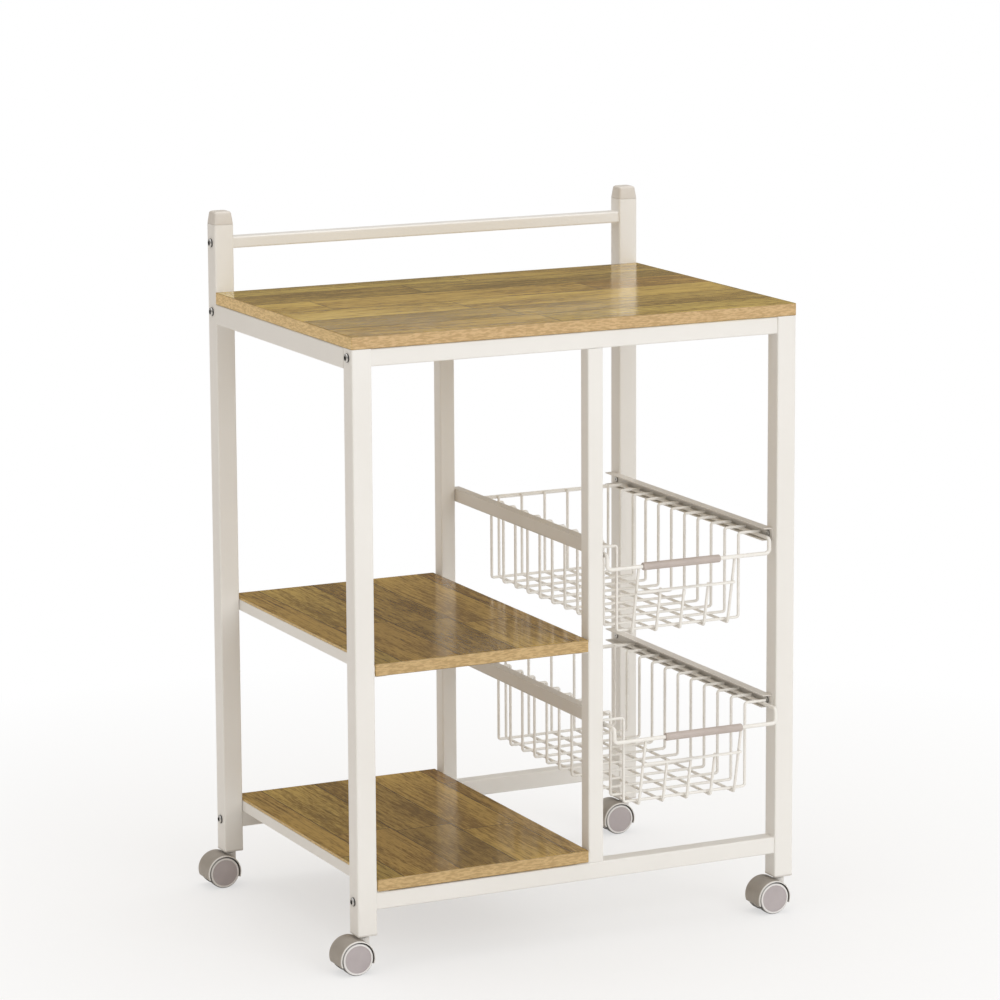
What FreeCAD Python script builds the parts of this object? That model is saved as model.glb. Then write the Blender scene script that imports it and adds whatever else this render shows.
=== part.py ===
import FreeCAD, Part
import math
import os
import re
from FreeCAD import Placement, Rotation, Vector

# A kitchen cart on twin-wheel casters. Two welded side frames of square tube are bolted together by
# five cross rails. Boards lie on top and in the left bay, two wire baskets slide in the right bay.
# X runs from the left outer face, Y from the front face to the back, Z up from the floor.

DRIVING_SIZES = [
    # Frame of square steel tube
    ("cart_width", 585, "left outer face to right outer face of the posts"),
    ("cart_depth", 437, "front face of the front posts to back face of the rear posts"),
    ("caster_height", 47, "floor to the lower ends of the posts"),
    ("front_post_length", 695, "lower end of the posts to the underside of the top panel"),
    ("rear_post_length", 793, "lower end to upper end of a rear post"),
    ("post_size", 25, "side of the square post and side rail tube"),
    ("cross_tube", 21, "side of the square cross rail tube"),
    ("mid_post_size", 20, "side of the square mid post tube"),
    ("mid_post_offset", 305, "left outer face to the left face of the mid posts"),
    ("tube_wall", 1.2, "wall of every tube"),
    ("tube_corner", 2, "outer corner radius of every tube"),
    ("bottom_rail_rise", 28, "lower end of the posts to the underside of the bottom rails"),
    ("push_rail_rise", 763, "lower end of the posts to the underside of the push rail"),
    ("push_rail_height", 14, "height of the push rail tube"),
    ("push_rail_depth", 20, "depth of the push rail tube"),
    ("cap_height", 16, "visible height of a rear post cap"),
    ("cap_top_size", 22, "side of the cap's square top"),
    ("cap_round", 3, "rounding of the cap's edges"),
    ("cap_plug", 14, "depth of a cap's plug inside its post, clear of the push rail's bolt"),
    ("plug_length", 22, "depth of a plug inside its tube"),
    ("plug_gap", 0.1, "gap between a plug and the tube's inner wall"),
    # Boards and the angles that carry the shelves
    ("board_thickness", 15, "thickness of the panel and the shelves"),
    ("board_round", 0.8, "rounding of the board edges"),
    ("board_gap", 0.3, "gap between a shelf and the angles beside it"),
    ("middle_shelf_rise", 308, "lower end of the posts to the underside of the middle angles"),
    ("angle_leg", 13, "height of the angle's upright leg"),
    ("angle_shelf", 16, "width of the angle's flat leg"),
    ("angle_metal", 1.2, "metal thickness of the angle"),
    ("angle_inset", 3, "front and rear faces of the cart to the ends of the angles"),
    # Runners of the baskets
    ("upper_runner_rise", 419, "lower end of the posts to the underside of the upper runners"),
    ("lower_runner_rise", 211, "lower end of the posts to the underside of the lower runners"),
    ("runner_height", 16, "height of the channel"),
    ("runner_depth", 12, "width of the channel's legs"),
    ("runner_metal", 1.2, "metal thickness of the channel"),
    ("runner_front_inset", 10, "front face of the cart to the front end of a runner"),
    ("runner_rear_inset", 8, "rear face of the cart to the rear end of a runner"),
    ("runner_notch", 4, "length of the lower leg cut away at the front, clear of the handle's bend"),
    ("runner_screw_inset", 19, "front or rear face of the cart to the runner's screws"),
    # Wire baskets
    ("rim_wire", 5, "diameter of the rim wire"),
    ("basket_wire", 3.5, "diameter of the thin wires"),
    ("rim_side_gap", 3.3, "gap between the rim and the web of the runner"),
    ("slide_gap", 0.3, "running gap under the rim"),
    ("weld_gap", 0.05, "gap left between wires at a weld"),
    ("rim_bend", 5, "bend radius of the rim wire"),
    ("wire_bend", 3, "bend radius of the thin wires"),
    ("handle_drop", 18, "rim to the handle bar below it"),
    ("upper_set_back", 6, "front face of the cart to the handle bar of the pushed-in upper basket"),
    ("lower_pull_out", 18, "how far the lower basket stands open"),
    ("basket_rear_gap", 38, "rear rim of the upper basket to the rear face of the cart"),
    ("basket_height", 100, "rim to the bottom of the ribs"),
    ("rib_count", 11, "number of ribs across a basket"),
    ("rib_tab", 27, "length of the flat tab from the rim in to the basket's side"),
    ("first_rib", 28, "handle bar to the first rib"),
    ("last_rib", 20, "last rib to the rear rim"),
    ("long_wire_count", 5, "number of lengthwise wires under a basket"),
    ("long_wire_inset", 18, "side of the basket to the outermost lengthwise wire"),
    ("front_lean", 18, "how far the front wall leans back at its foot"),
    ("front_wire_drop", 51, "rim to the front cross wire"),
    ("grip_length", 105, "length of the handle grip"),
    ("grip_diameter", 9.5, "outer diameter of the handle grip"),
    ("grip_bore_gap", 0.1, "gap between the grip and the handle bar"),
    ("grip_end_gap", 0.5, "gap between the grip and the wire that stops it"),
    ("grip_chamfer", 1, "chamfer of the grip's ends"),
    # Casters
    ("wheel_diameter", 40, "diameter of a caster wheel"),
    ("wheel_width", 10.8, "width of one wheel of the pair"),
    ("wheel_round", 2, "rounding of the wheel's tread"),
    ("wheel_end_gap", 0.5, "wheel face to the edge of the hood"),
    ("hood_gap", 0.8, "gap between the tread and the hood"),
    ("hood_wall", 1.5, "wall of the hood"),
    ("hood_width", 37, "width of the hood over both wheels"),
    ("hood_skirt", 20, "angle that the hood reaches below the axle at each end, in degrees"),
    ("hood_web", 10, "thickness of the web between the wheels"),
    ("hub_diameter", 14, "diameter of the web's boss round the axle"),
    ("swivel_offset", 15, "stem axis to axle"),
    ("boss_diameter", 13, "diameter of the boss round the stem"),
    ("stem_diameter", 8, "diameter of the stem"),
    ("stem_seat", 16, "depth of the stem in its boss"),
    ("stem_grip", 28, "length of the stem in the post socket"),
    ("collar_height", 3, "height of the stem's collar"),
    ("axle_diameter", 5, "diameter of the axle pin"),
    ("axle_length", 32, "length of the axle pin"),
    ("running_gap", 0.05, "radial clearance of turning fits"),
    ("socket_flange", 2.5, "thickness of the socket's flange under the post"),
    ("socket_round", 1.5, "rounding of the socket flange's corners"),
    # Fasteners
    ("bolt_diameter", 6, "shank of the frame bolts"),
    ("bolt_head_diameter", 11, "head of the frame bolts"),
    ("bolt_head_height", 3, "height of the frame bolt heads"),
    ("bolt_key", 4, "width across flats of the key socket"),
    ("bolt_key_depth", 2, "depth of the key socket"),
    ("bolt_grip", 18, "length of the bolt in its plug"),
    ("bolt_gap", 0.25, "radial clearance of bolts and long screws in tube walls"),
    ("screw_diameter", 4, "shank of the screws"),
    ("screw_head_diameter", 8, "head of the screws"),
    ("screw_head_height", 1.6, "height of the screw heads"),
    ("screw_bite", 9, "length of a screw in its board, plug or tube"),
    ("screw_gap", 0.05, "radial clearance of a screw in its own thread"),
    ("panel_screw_inset", 60, "ends of the side rails to the panel screws"),
    ("shelf_screw_inset", 90, "front and rear faces of the cart to the shelf screws"),
]

doc = FreeCAD.newDocument("kitchen_cart")
sizes = doc.addObject("Spreadsheet::Sheet", "sizes")
for row, (alias, value, meaning) in enumerate(DRIVING_SIZES, start=1):
    sizes.set(f"A{row}", meaning)
    sizes.set(f"B{row}", str(value))
    sizes.setAlias(f"B{row}", alias)
doc.recompute()

SIZE_NAME = re.compile(r"\b(" + "|".join(alias for alias, value, meaning in DRIVING_SIZES) + r")\b")
ADD = "Additive"
CUT = "Subtractive"
ROD_TURNS = {
    "x": Rotation(Vector(0, 1, 0), 90),
    "y": Rotation(Vector(1, 0, 0), -90),
    "z": Rotation(),
}
AXES = {"x": Vector(1, 0, 0), "y": Vector(0, 1, 0), "z": Vector(0, 0, 1)}
subparts = []


# Binding sizes to the sheet

def size(alias):
    """Read one driving size for a shape that is worked out point by point."""
    return float(sizes.get(alias))


def expression(text):
    """Turn a sum of size names into an expression on the sheet's cells."""
    return SIZE_NAME.sub(r"sizes.\1", text)


def bind(item, **properties):
    for name, text in properties.items():
        item.setExpression(name, expression(text))


def place(item, x, y, z):
    for axis, text in zip("xyz", (x, y, z)):
        item.setExpression(f"Placement.Base.{axis}", expression(text))


# Building blocks of a body

def new_body(label, x="0", y="0", z="0"):
    body = doc.addObject("PartDesign::Body", label)
    body.Label = label
    body.AllowCompound = True
    place(body, x, y, z)
    subparts.append(body)
    return body


def box(body, kind, length, width, height, x="0", y="0", z="0"):
    """Add or cut a box whose near lower corner is at x, y, z of the body."""
    feature = body.newObject(f"PartDesign::{kind}Box", f"{kind}Box")
    bind(feature, Length=length, Width=width, Height=height)
    place(feature, x, y, z)
    return feature


def rod(body, kind, diameter, length, axis, x="0", y="0", z="0"):
    """Add or cut a cylinder that starts at x, y, z of the body and runs along an axis."""
    feature = body.newObject(f"PartDesign::{kind}Cylinder", f"{kind}Rod")
    feature.Placement = Placement(Vector(), ROD_TURNS[axis])
    bind(feature, Radius=f"({diameter}) / 2", Height=length)
    place(feature, x, y, z)
    return feature


def round_edges(body, radius, chosen, kind="Fillet"):
    """Round or chamfer the edges of the body so far that the chosen test picks."""
    doc.recompute()
    solid = body.Tip
    names = [f"Edge{index}" for index, edge in enumerate(solid.Shape.Edges, start=1) if chosen(edge)]
    feature = body.newObject(f"PartDesign::{kind}", f"{kind}Edges")
    feature.Base = (solid, names)
    bind(feature, **{"Radius" if kind == "Fillet" else "Size": radius})


def runs_along(axis):
    """A test for straight edges that run along an axis."""
    return lambda edge: (edge.Curve.TypeId == "Part::GeomLine"
                         and abs(edge.tangentAt(edge.FirstParameter).dot(AXES[axis])) > 0.999)


def is_circle(radius):
    """A test for round edges of a radius."""
    return lambda edge: edge.Curve.TypeId == "Part::GeomCircle" and abs(edge.Curve.Radius - radius) < 1e-6


# Heights and places that several pieces share

POST_TOP = "(caster_height + front_post_length)"
TOP_RAIL = f"({POST_TOP} - cross_tube)"
BOTTOM_RAIL = "(caster_height + bottom_rail_rise)"
PUSH_RAIL = "(caster_height + push_rail_rise)"
RIGHT_POST = "(cart_width - post_size)"
REAR_POST = "(cart_depth - post_size)"
CROSS_INSET = "((post_size - cross_tube) / 2)"
PUSH_INSET = "((post_size - push_rail_depth) / 2)"
MID_INSET = "((post_size - mid_post_size) / 2)"
MID_RIGHT = "(mid_post_offset + mid_post_size)"
BAY_CENTRE = f"(({MID_RIGHT} + {RIGHT_POST}) / 2)"
BOLT_HOLE = "bolt_diameter + 2 * bolt_gap"
SCREW_HOLE = "screw_diameter + 2 * screw_gap"
LONG_SCREW_HOLE = "screw_diameter + 2 * bolt_gap"
RUNNER_LEVELS = {"upper": "upper_runner_rise", "lower": "lower_runner_rise"}
RUNNER_MIDDLE = "runner_height / 2"


# Tube frame

def tube(label, axis, length, width, height, x, y, z):
    """A square or flat tube along an axis, with rounded outer corners and an open bore."""
    body = new_body(label, x, y, z)
    box(body, ADD, length, width, height)
    round_edges(body, "tube_corner", runs_along(axis))
    spans = {"x": length, "y": width, "z": height}
    bore = {name: span if name == axis else f"{span} - 2 * tube_wall" for name, span in spans.items()}
    corner = {name: "0" if name == axis else "tube_wall" for name in spans}
    box(body, CUT, *bore.values(), *corner.values())
    return body


def runner_screw_holes(body, wall_x, screw_y):
    """Screw holes for both runners in the wall of a post that faces the basket bay."""
    for rise in RUNNER_LEVELS.values():
        rod(body, CUT, SCREW_HOLE, "tube_wall", "x", wall_x, screw_y, f"{rise} + {RUNNER_MIDDLE}")


def corner_post(side, end):
    """A corner post: the front ones stop under the panel, the rear ones carry the push rail."""
    x = "0" if side == "left" else RIGHT_POST
    y = "0" if end == "front" else REAR_POST
    length = f"{end}_post_length"
    post = tube(f"{side}_{end}_post", "z", "post_size", "post_size", length, x, y, "caster_height")
    bolt_rises = ["bottom_rail_rise + cross_tube / 2", "front_post_length - cross_tube / 2"]
    if end == "rear":
        bolt_rises.append("push_rail_rise + push_rail_height / 2")
    for rise in bolt_rises:
        rod(post, CUT, BOLT_HOLE, "post_size", "x", "0", "post_size / 2", rise)
    if side == "right":
        screw_y = "runner_screw_inset" if end == "front" else "post_size - runner_screw_inset"
        runner_screw_holes(post, "0", screw_y)


def mid_post(end):
    """A mid post between the top and bottom cross rails, with the left runners on its right face."""
    y = MID_INSET if end == "front" else f"{REAR_POST} + {MID_INSET}"
    foot = f"({BOTTOM_RAIL} + cross_tube)"
    length = f"{TOP_RAIL} - {foot}"
    post = tube(f"mid_{end}_post", "z", "mid_post_size", "mid_post_size", length,
                "mid_post_offset", y, foot)
    reach = "runner_screw_inset" if end == "front" else "post_size - runner_screw_inset"
    for rise in RUNNER_LEVELS.values():
        rise_on_post = f"caster_height + {rise} + {RUNNER_MIDDLE} - {foot}"
        rod(post, CUT, SCREW_HOLE, "tube_wall", "x", "mid_post_size - tube_wall",
            f"{reach} - {MID_INSET}", rise_on_post)


def side_rail(side):
    """A top side rail welded between a front and a rear post, drilled for the panel screws."""
    x = "0" if side == "left" else RIGHT_POST
    length = "(cart_depth - 2 * post_size)"
    rail = tube(f"{side}_side_rail", "y", "post_size", length, "post_size",
                x, "post_size", f"{POST_TOP} - post_size")
    for y in ("panel_screw_inset", f"{length} - panel_screw_inset"):
        rod(rail, CUT, LONG_SCREW_HOLE, "post_size", "z", "post_size / 2", y)


def cross_rail(end, level):
    """A cross rail between the left and right posts, drilled for the mid post's screw and its driver."""
    y = CROSS_INSET if end == "front" else f"{REAR_POST} + {CROSS_INSET}"
    z = TOP_RAIL if level == "top" else BOTTOM_RAIL
    length = "cart_width - 2 * post_size"
    rail = tube(f"{end}_{level}_rail", "x", length, "cross_tube", "cross_tube", "post_size", y, z)
    screw_x = "mid_post_offset + mid_post_size / 2 - post_size"
    rod(rail, CUT, LONG_SCREW_HOLE, "cross_tube", "z", screw_x, "cross_tube / 2")
    driver_z = "cross_tube - tube_wall" if level == "top" else "0"
    rod(rail, CUT, "screw_head_diameter + 2 * bolt_gap", "tube_wall", "z",
        screw_x, "cross_tube / 2", driver_z)


for side in ("left", "right"):
    for end in ("front", "rear"):
        corner_post(side, end)
for end in ("front", "rear"):
    mid_post(end)
for side in ("left", "right"):
    side_rail(side)
for end in ("front", "rear"):
    for level in ("top", "bottom"):
        cross_rail(end, level)
tube("push_rail", "x", "cart_width - 2 * post_size", "push_rail_depth", "push_rail_height",
     "post_size", f"{REAR_POST} + {PUSH_INSET}", PUSH_RAIL)


# Plastic caps pressed into the tops of the rear posts

def post_caps():
    caps = new_body("rear_post_caps", "0", f"{REAR_POST} + post_size / 2",
                    "caster_height + rear_post_length")
    for x in ("post_size / 2", f"{RIGHT_POST} + post_size / 2"):
        top = caps.newObject("PartDesign::AdditiveWedge", "CapTop")
        top.Placement = Placement(Vector(), Rotation(Vector(1, 0, 0), 90))
        bind(top, Xmin="-post_size / 2", Xmax="post_size / 2", Zmin="-post_size / 2", Zmax="post_size / 2",
             X2min="-cap_top_size / 2", X2max="cap_top_size / 2", Z2min="-cap_top_size / 2",
             Z2max="cap_top_size / 2", Ymin="0", Ymax="cap_height")
        place(top, x, "0", "0")
    round_edges(caps, "cap_round", lambda edge: edge.BoundBox.ZMax > size("cap_height") / 2)
    plug = "post_size - 2 * tube_wall - 2 * plug_gap"
    for x in ("0", RIGHT_POST):
        box(caps, ADD, plug, plug, "cap_plug", f"{x} + tube_wall + plug_gap", f"-({plug}) / 2", "-cap_plug")


post_caps()


# Boards: a top panel on the frame and two shelves in the left bay

def board(label, length, width, x, y, z):
    body = new_body(label, x, y, z)
    box(body, ADD, length, width, "board_thickness")
    round_edges(body, "board_round", lambda edge: True)
    return body


def top_panel():
    """The panel lies on the posts and side rails, its back edge against the rear posts."""
    panel = board("top_panel", "cart_width", REAR_POST, "0", "0", POST_TOP)
    for x in ("post_size / 2", f"{RIGHT_POST} + post_size / 2"):
        for y in ("post_size + panel_screw_inset", f"{REAR_POST} - panel_screw_inset"):
            rod(panel, CUT, SCREW_HOLE, "screw_bite", "z", x, y)


SHELF_LEVELS = {"middle": "middle_shelf_rise", "bottom": "bottom_rail_rise + cross_tube"}
SHELF_BAY = "(mid_post_offset - post_size)"
SHELF_SIDE = "(angle_metal + board_gap)"
SCREW_LANES = ("angle_shelf / 2", f"{SHELF_BAY} - angle_shelf / 2")


def shelf(level):
    """A shelf between the two angles, with pilot holes over their flat legs."""
    rise = f"caster_height + {SHELF_LEVELS[level]} + angle_metal"
    body = board(f"{level}_shelf", f"{SHELF_BAY} - 2 * {SHELF_SIDE}", "cart_depth",
                 f"post_size + {SHELF_SIDE}", "0", rise)
    for x in SCREW_LANES:
        for y in ("shelf_screw_inset", "cart_depth - shelf_screw_inset"):
            rod(body, CUT, SCREW_HOLE, "screw_bite", "z", f"{x} - {SHELF_SIDE}", y)


def shelf_angles(level):
    """A pair of steel angles: one against the left posts, one against the mid posts."""
    angles = new_body(f"{level}_shelf_angles", "post_size", "angle_inset",
                      f"caster_height + {SHELF_LEVELS[level]}")
    length = "(cart_depth - 2 * angle_inset)"
    for leg_x, shelf_x in (("0", "0"), (f"{SHELF_BAY} - angle_metal", f"{SHELF_BAY} - angle_shelf")):
        box(angles, ADD, "angle_metal", length, "angle_leg", leg_x)
        box(angles, ADD, "angle_shelf", length, "angle_metal", shelf_x)
    for x in SCREW_LANES:
        for y in ("shelf_screw_inset", "cart_depth - shelf_screw_inset"):
            rod(angles, CUT, LONG_SCREW_HOLE, "angle_metal", "z", x, f"{y} - angle_inset")


top_panel()
for level in SHELF_LEVELS:
    shelf_angles(level)
    shelf(level)


# Steel channels that the basket rims slide in

def runner(level, side):
    """A channel open to the basket, screwed to the posts, its lower leg notched at the front."""
    x = MID_RIGHT if side == "left" else f"{RIGHT_POST} - runner_depth"
    length = "(cart_depth - runner_front_inset - runner_rear_inset)"
    body = new_body(f"{level}_{side}_runner", x, "runner_front_inset",
                    f"caster_height + {RUNNER_LEVELS[level]}")
    box(body, ADD, "runner_depth", length, "runner_height")
    inner_x = "runner_metal" if side == "left" else "0"
    inner_depth = "runner_depth - runner_metal"
    box(body, CUT, inner_depth, length, "runner_height - 2 * runner_metal",
        inner_x, "0", "runner_metal")
    box(body, CUT, inner_depth, "runner_notch", "runner_metal", inner_x)
    web_x = "0" if side == "left" else "runner_depth - runner_metal"
    for y in ("runner_screw_inset", "cart_depth - runner_screw_inset"):
        rod(body, CUT, LONG_SCREW_HOLE, "runner_metal", "x",
            web_x, f"{y} - runner_front_inset", RUNNER_MIDDLE)


for level in RUNNER_LEVELS:
    for side in ("left", "right"):
        runner(level, side)


# Wire baskets, each worked out from the middle of its handle bar at the height of its rim

def bent_wire(points, bend, diameter):
    """A round wire along straight runs joined by arcs of one bend radius."""
    arcs = {}
    for index in range(1, len(points) - 1):
        corner = points[index]
        back = (points[index - 1] - corner).normalize()
        ahead = (points[index + 1] - corner).normalize()
        half_angle = back.getAngle(ahead) / 2
        reach = bend / math.tan(half_angle)
        middle = (back + ahead).normalize() * (bend / math.sin(half_angle) - bend)
        arcs[index] = (corner + back * reach, corner + middle, corner + ahead * reach)
    edges = []
    for index in range(len(points) - 1):
        start = arcs[index][2] if index in arcs else points[index]
        stop = arcs[index + 1][0] if index + 1 in arcs else points[index + 1]
        edges.append(Part.LineSegment(start, stop).toShape())
        if index + 1 in arcs:
            edges.append(Part.Arc(*arcs[index + 1]).toShape())
    section = Part.Wire(Part.makeCircle(diameter / 2, points[0], points[1] - points[0]))
    return Part.Wire(edges).makePipeShell([section], True, False)


rim_radius = size("rim_wire") / 2
wire_radius = size("basket_wire") / 2
bay_half = (size("cart_width") - size("post_size") - size("mid_post_offset") - size("mid_post_size")) / 2
rim_half = bay_half - size("runner_metal") - size("rim_side_gap") - rim_radius
side_half = rim_half - size("rib_tab")
basket_length = size("cart_depth") - size("upper_set_back") - size("basket_rear_gap")
outer_wire = side_half - size("long_wire_inset")
weld_gap = size("weld_gap")
floor_level = -size("basket_height") - 2 * wire_radius - weld_gap
lean = math.atan2(size("front_lean"), -size("handle_drop") - floor_level)
front_top = (rim_radius + wire_radius + weld_gap) / math.cos(lean)


def front_wall(level):
    """How far behind the handle bar the upright wires of the front wall stand at a height."""
    return front_top + (-size("handle_drop") - level) * math.tan(lean)


def rim():
    """The rim runs round the basket, steps down to the handle bar and meets in a weld under the grip."""
    drop = -size("handle_drop")
    points = [
        Vector(weld_gap / 2, 0, drop),
        Vector(rim_half, 0, drop),
        Vector(rim_half, 0, 0),
        Vector(rim_half, basket_length, 0),
        Vector(-rim_half, basket_length, 0),
        Vector(-rim_half, 0, 0),
        Vector(-rim_half, 0, drop),
        Vector(-weld_gap / 2, 0, drop),
    ]
    return bent_wire(points, size("rim_bend"), size("rim_wire"))


def ribs():
    """Cross ribs that hang from tabs on the rim, down one side, under the floor and up the other."""
    tab = rim_radius + wire_radius + weld_gap
    bottom = -size("basket_height")
    half = [Vector(rim_half + wire_radius, 0, tab), Vector(side_half, 0, tab), Vector(side_half, 0, bottom)]
    points = half + [Vector(-point.x, 0, point.z) for point in reversed(half)]
    rib = bent_wire(points, size("wire_bend"), size("basket_wire"))
    count = int(size("rib_count"))
    pitch = (basket_length - size("first_rib") - size("last_rib")) / (count - 1)
    places = [size("first_rib") + index * pitch for index in range(count)]
    return Part.makeCompound([rib.translated(Vector(0, y, 0)) for y in places])


def long_wires():
    """Lengthwise wires under the ribs: the outer two reach the handle, the others the front wire."""
    rear = basket_length - rim_radius - wire_radius - weld_gap
    count = int(size("long_wire_count"))
    wires = []
    for index in range(count):
        x = -outer_wire + 2 * outer_wire * index / (count - 1)
        is_outer = index in (0, count - 1)
        top = -size("handle_drop") if is_outer else -size("front_wire_drop") + wire_radius
        points = [
            Vector(x, front_wall(top), top),
            Vector(x, front_wall(floor_level), floor_level),
            Vector(x, rear, floor_level),
            Vector(x, rear, wire_radius),
        ]
        wires.append(bent_wire(points, size("wire_bend"), size("basket_wire")))
    return Part.makeCompound(wires)


def front_wire():
    """A straight cross wire in front of the upright wires of the front wall."""
    level = -size("front_wire_drop")
    y = front_wall(level) - (2 * wire_radius + weld_gap) / math.cos(lean)
    half = outer_wire + wire_radius
    return Part.makeCylinder(wire_radius, 2 * half, Vector(-half, y, level), Vector(1, 0, 0))


def basket(level):
    """One basket: its welded wires, and a grip that slides on the handle up to one of the wires."""
    y = "upper_set_back" if level == "upper" else "upper_set_back - lower_pull_out"
    rim_level = f"caster_height + {RUNNER_LEVELS[level]} + runner_metal + slide_gap + rim_wire / 2"
    for bent in (rim, ribs, long_wires, front_wire):
        label = f"{level}_basket_{bent.__name__}"
        wire = doc.addObject("Part::Feature", label)
        wire.Label = label
        wire.Shape = bent()
        place(wire, BAY_CENTRE, y, rim_level)
        subparts.append(wire)
    reach = (f"({BAY_CENTRE} - {MID_RIGHT} - runner_metal - rim_side_gap - rim_wire / 2 - rib_tab"
             " - long_wire_inset - basket_wire / 2 - grip_end_gap)")
    start = f"-{reach}" if level == "upper" else f"{reach} - grip_length"
    grip = new_body(f"{level}_basket_grip", BAY_CENTRE, y, f"{rim_level} - handle_drop")
    rod(grip, ADD, "grip_diameter", "grip_length", "x", start)
    round_edges(grip, "grip_chamfer", is_circle(size("grip_diameter") / 2), "Chamfer")
    rod(grip, CUT, "rim_wire + 2 * grip_bore_gap", "grip_length", "x", start)


for level in RUNNER_LEVELS:
    basket(level)


# Twin-wheel casters, each worked out from its stem axis at the floor

AXLE_LEVEL = "wheel_diameter / 2"
WELL_DIAMETER = "(wheel_diameter + 2 * hood_gap)"
COLLAR_FOOT = "(caster_height - socket_flange - slide_gap - collar_height)"
STEM_AXES = {"left": "post_size / 2", "right": f"{RIGHT_POST} + post_size / 2"}
STEM_ROWS = {"front": "post_size / 2", "rear": f"{REAR_POST} + post_size / 2"}


def caster_hood(label, x, y):
    """A moulded hood over both wheels, with a web between them, an axle hub and a stem boss."""
    hood = new_body(label, x, y)
    shell = hood.newObject("PartDesign::AdditiveCylinder", "Shell")
    sweep_start = Rotation(Vector(0, 0, 1), -size("hood_skirt"))
    shell.Placement = Placement(Vector(), Rotation(Vector(1, 0, 0), 90) * sweep_start)
    bind(shell, Radius=f"{WELL_DIAMETER} / 2 + hood_wall", Height="hood_width",
         Angle="180 + 2 * hood_skirt")
    place(shell, "-swivel_offset", "hood_width / 2", AXLE_LEVEL)
    well = "(hood_width - hood_web) / 2"
    for start in ("-hood_width / 2", "hood_web / 2"):
        rod(hood, CUT, WELL_DIAMETER, well, "y", "-swivel_offset", start, AXLE_LEVEL)
    rod(hood, ADD, "hub_diameter", "hood_web", "y", "-swivel_offset", "-hood_web / 2", AXLE_LEVEL)
    rod(hood, ADD, "boss_diameter", f"{COLLAR_FOOT} - {AXLE_LEVEL}", "z", "0", "0", AXLE_LEVEL)
    rod(hood, CUT, "stem_diameter + 2 * screw_gap", "stem_seat", "z",
        "0", "0", f"{COLLAR_FOOT} - stem_seat")
    rod(hood, CUT, "axle_diameter + 2 * screw_gap", "hood_web", "y",
        "-swivel_offset", "-hood_web / 2", AXLE_LEVEL)


def caster_wheel(label, x, y, face):
    """A solid wheel with a blind bore that opens towards the web."""
    outer = "(hood_width / 2 - wheel_end_gap)"
    inner = f"({outer} - wheel_width)"
    start = f"-{outer}" if face == "front" else inner
    wheel = new_body(label, f"{x} - swivel_offset", y, AXLE_LEVEL)
    rod(wheel, ADD, "wheel_diameter", "wheel_width", "y", "0", start)
    round_edges(wheel, "wheel_round", is_circle(size("wheel_diameter") / 2))
    bore_depth = f"(axle_length / 2 + slide_gap - {inner})"
    bore_start = f"-{inner} - {bore_depth}" if face == "front" else inner
    rod(wheel, CUT, "axle_diameter + 2 * running_gap", bore_depth, "y", "0", bore_start)


def caster(side, end):
    """One caster: hood, steel stem with its collar, axle pin and a pair of wheels."""
    name = f"{side}_{end}_caster"
    x = STEM_AXES[side]
    y = STEM_ROWS[end]
    caster_hood(f"{name}_hood", x, y)
    stem = new_body(f"{name}_stem", x, y)
    rod(stem, ADD, "stem_diameter", f"caster_height + stem_grip - {COLLAR_FOOT} + stem_seat", "z",
        "0", "0", f"{COLLAR_FOOT} - stem_seat")
    rod(stem, ADD, "boss_diameter", "collar_height", "z", "0", "0", COLLAR_FOOT)
    axle = new_body(f"{name}_axle", f"{x} - swivel_offset", y, AXLE_LEVEL)
    rod(axle, ADD, "axle_diameter", "axle_length", "y", "0", "-axle_length / 2")
    for face in ("front", "rear"):
        caster_wheel(f"{name}_{face}_wheel", x, y, face)


def caster_sockets():
    """Plastic sockets pressed into the posts' lower ends, each with a flange under the post."""
    sockets = new_body("caster_sockets", "0", "0", "caster_height - socket_flange")
    corners = [(x, y) for x in ("0", RIGHT_POST) for y in ("0", REAR_POST)]
    for x, y in corners:
        box(sockets, ADD, "post_size", "post_size", "socket_flange", x, y)
    round_edges(sockets, "socket_round", lambda edge: edge.BoundBox.ZMin < 1e-6)
    plug = "(post_size - 2 * tube_wall - 2 * plug_gap)"
    inset = "tube_wall + plug_gap"
    height = "(stem_grip + 2 * slide_gap)"
    for x, y in corners:
        box(sockets, ADD, plug, plug, height, f"{x} + {inset}", f"{y} + {inset}", "socket_flange")
        rod(sockets, CUT, "stem_diameter + 2 * running_gap", f"socket_flange + {height}", "z",
            f"{x} + post_size / 2", f"{y} + post_size / 2")


caster_sockets()
for side in STEM_AXES:
    for end in STEM_ROWS:
        caster(side, end)


# Fasteners, each kind in one group

def frame_bolts():
    """Bolts through the posts into the plugs of the cross rails."""
    bolts = new_body("frame_bolts")
    front = "post_size / 2"
    rear = f"{REAR_POST} + post_size / 2"
    spots = [(y, f"{rail} + cross_tube / 2") for y in (front, rear) for rail in (TOP_RAIL, BOTTOM_RAIL)]
    spots.append((rear, f"{PUSH_RAIL} + push_rail_height / 2"))
    shank = "(post_size + bolt_grip)"
    for y, z in spots:
        for head_x, shank_x, key_x in (
            ("-bolt_head_height", "0", "-bolt_head_height"),
            ("cart_width", f"cart_width - {shank}", "cart_width + bolt_head_height - bolt_key_depth"),
        ):
            rod(bolts, ADD, "bolt_diameter", shank, "x", shank_x, y, z)
            rod(bolts, ADD, "bolt_head_diameter", "bolt_head_height", "x", head_x, y, z)
            key = bolts.newObject("PartDesign::SubtractivePrism", "KeySocket")
            key.Placement = Placement(Vector(), ROD_TURNS["x"])
            key.Polygon = 6
            bind(key, Circumradius="bolt_key / 2 / cos(30)", Height="bolt_key_depth")
            place(key, key_x, y, z)


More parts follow.
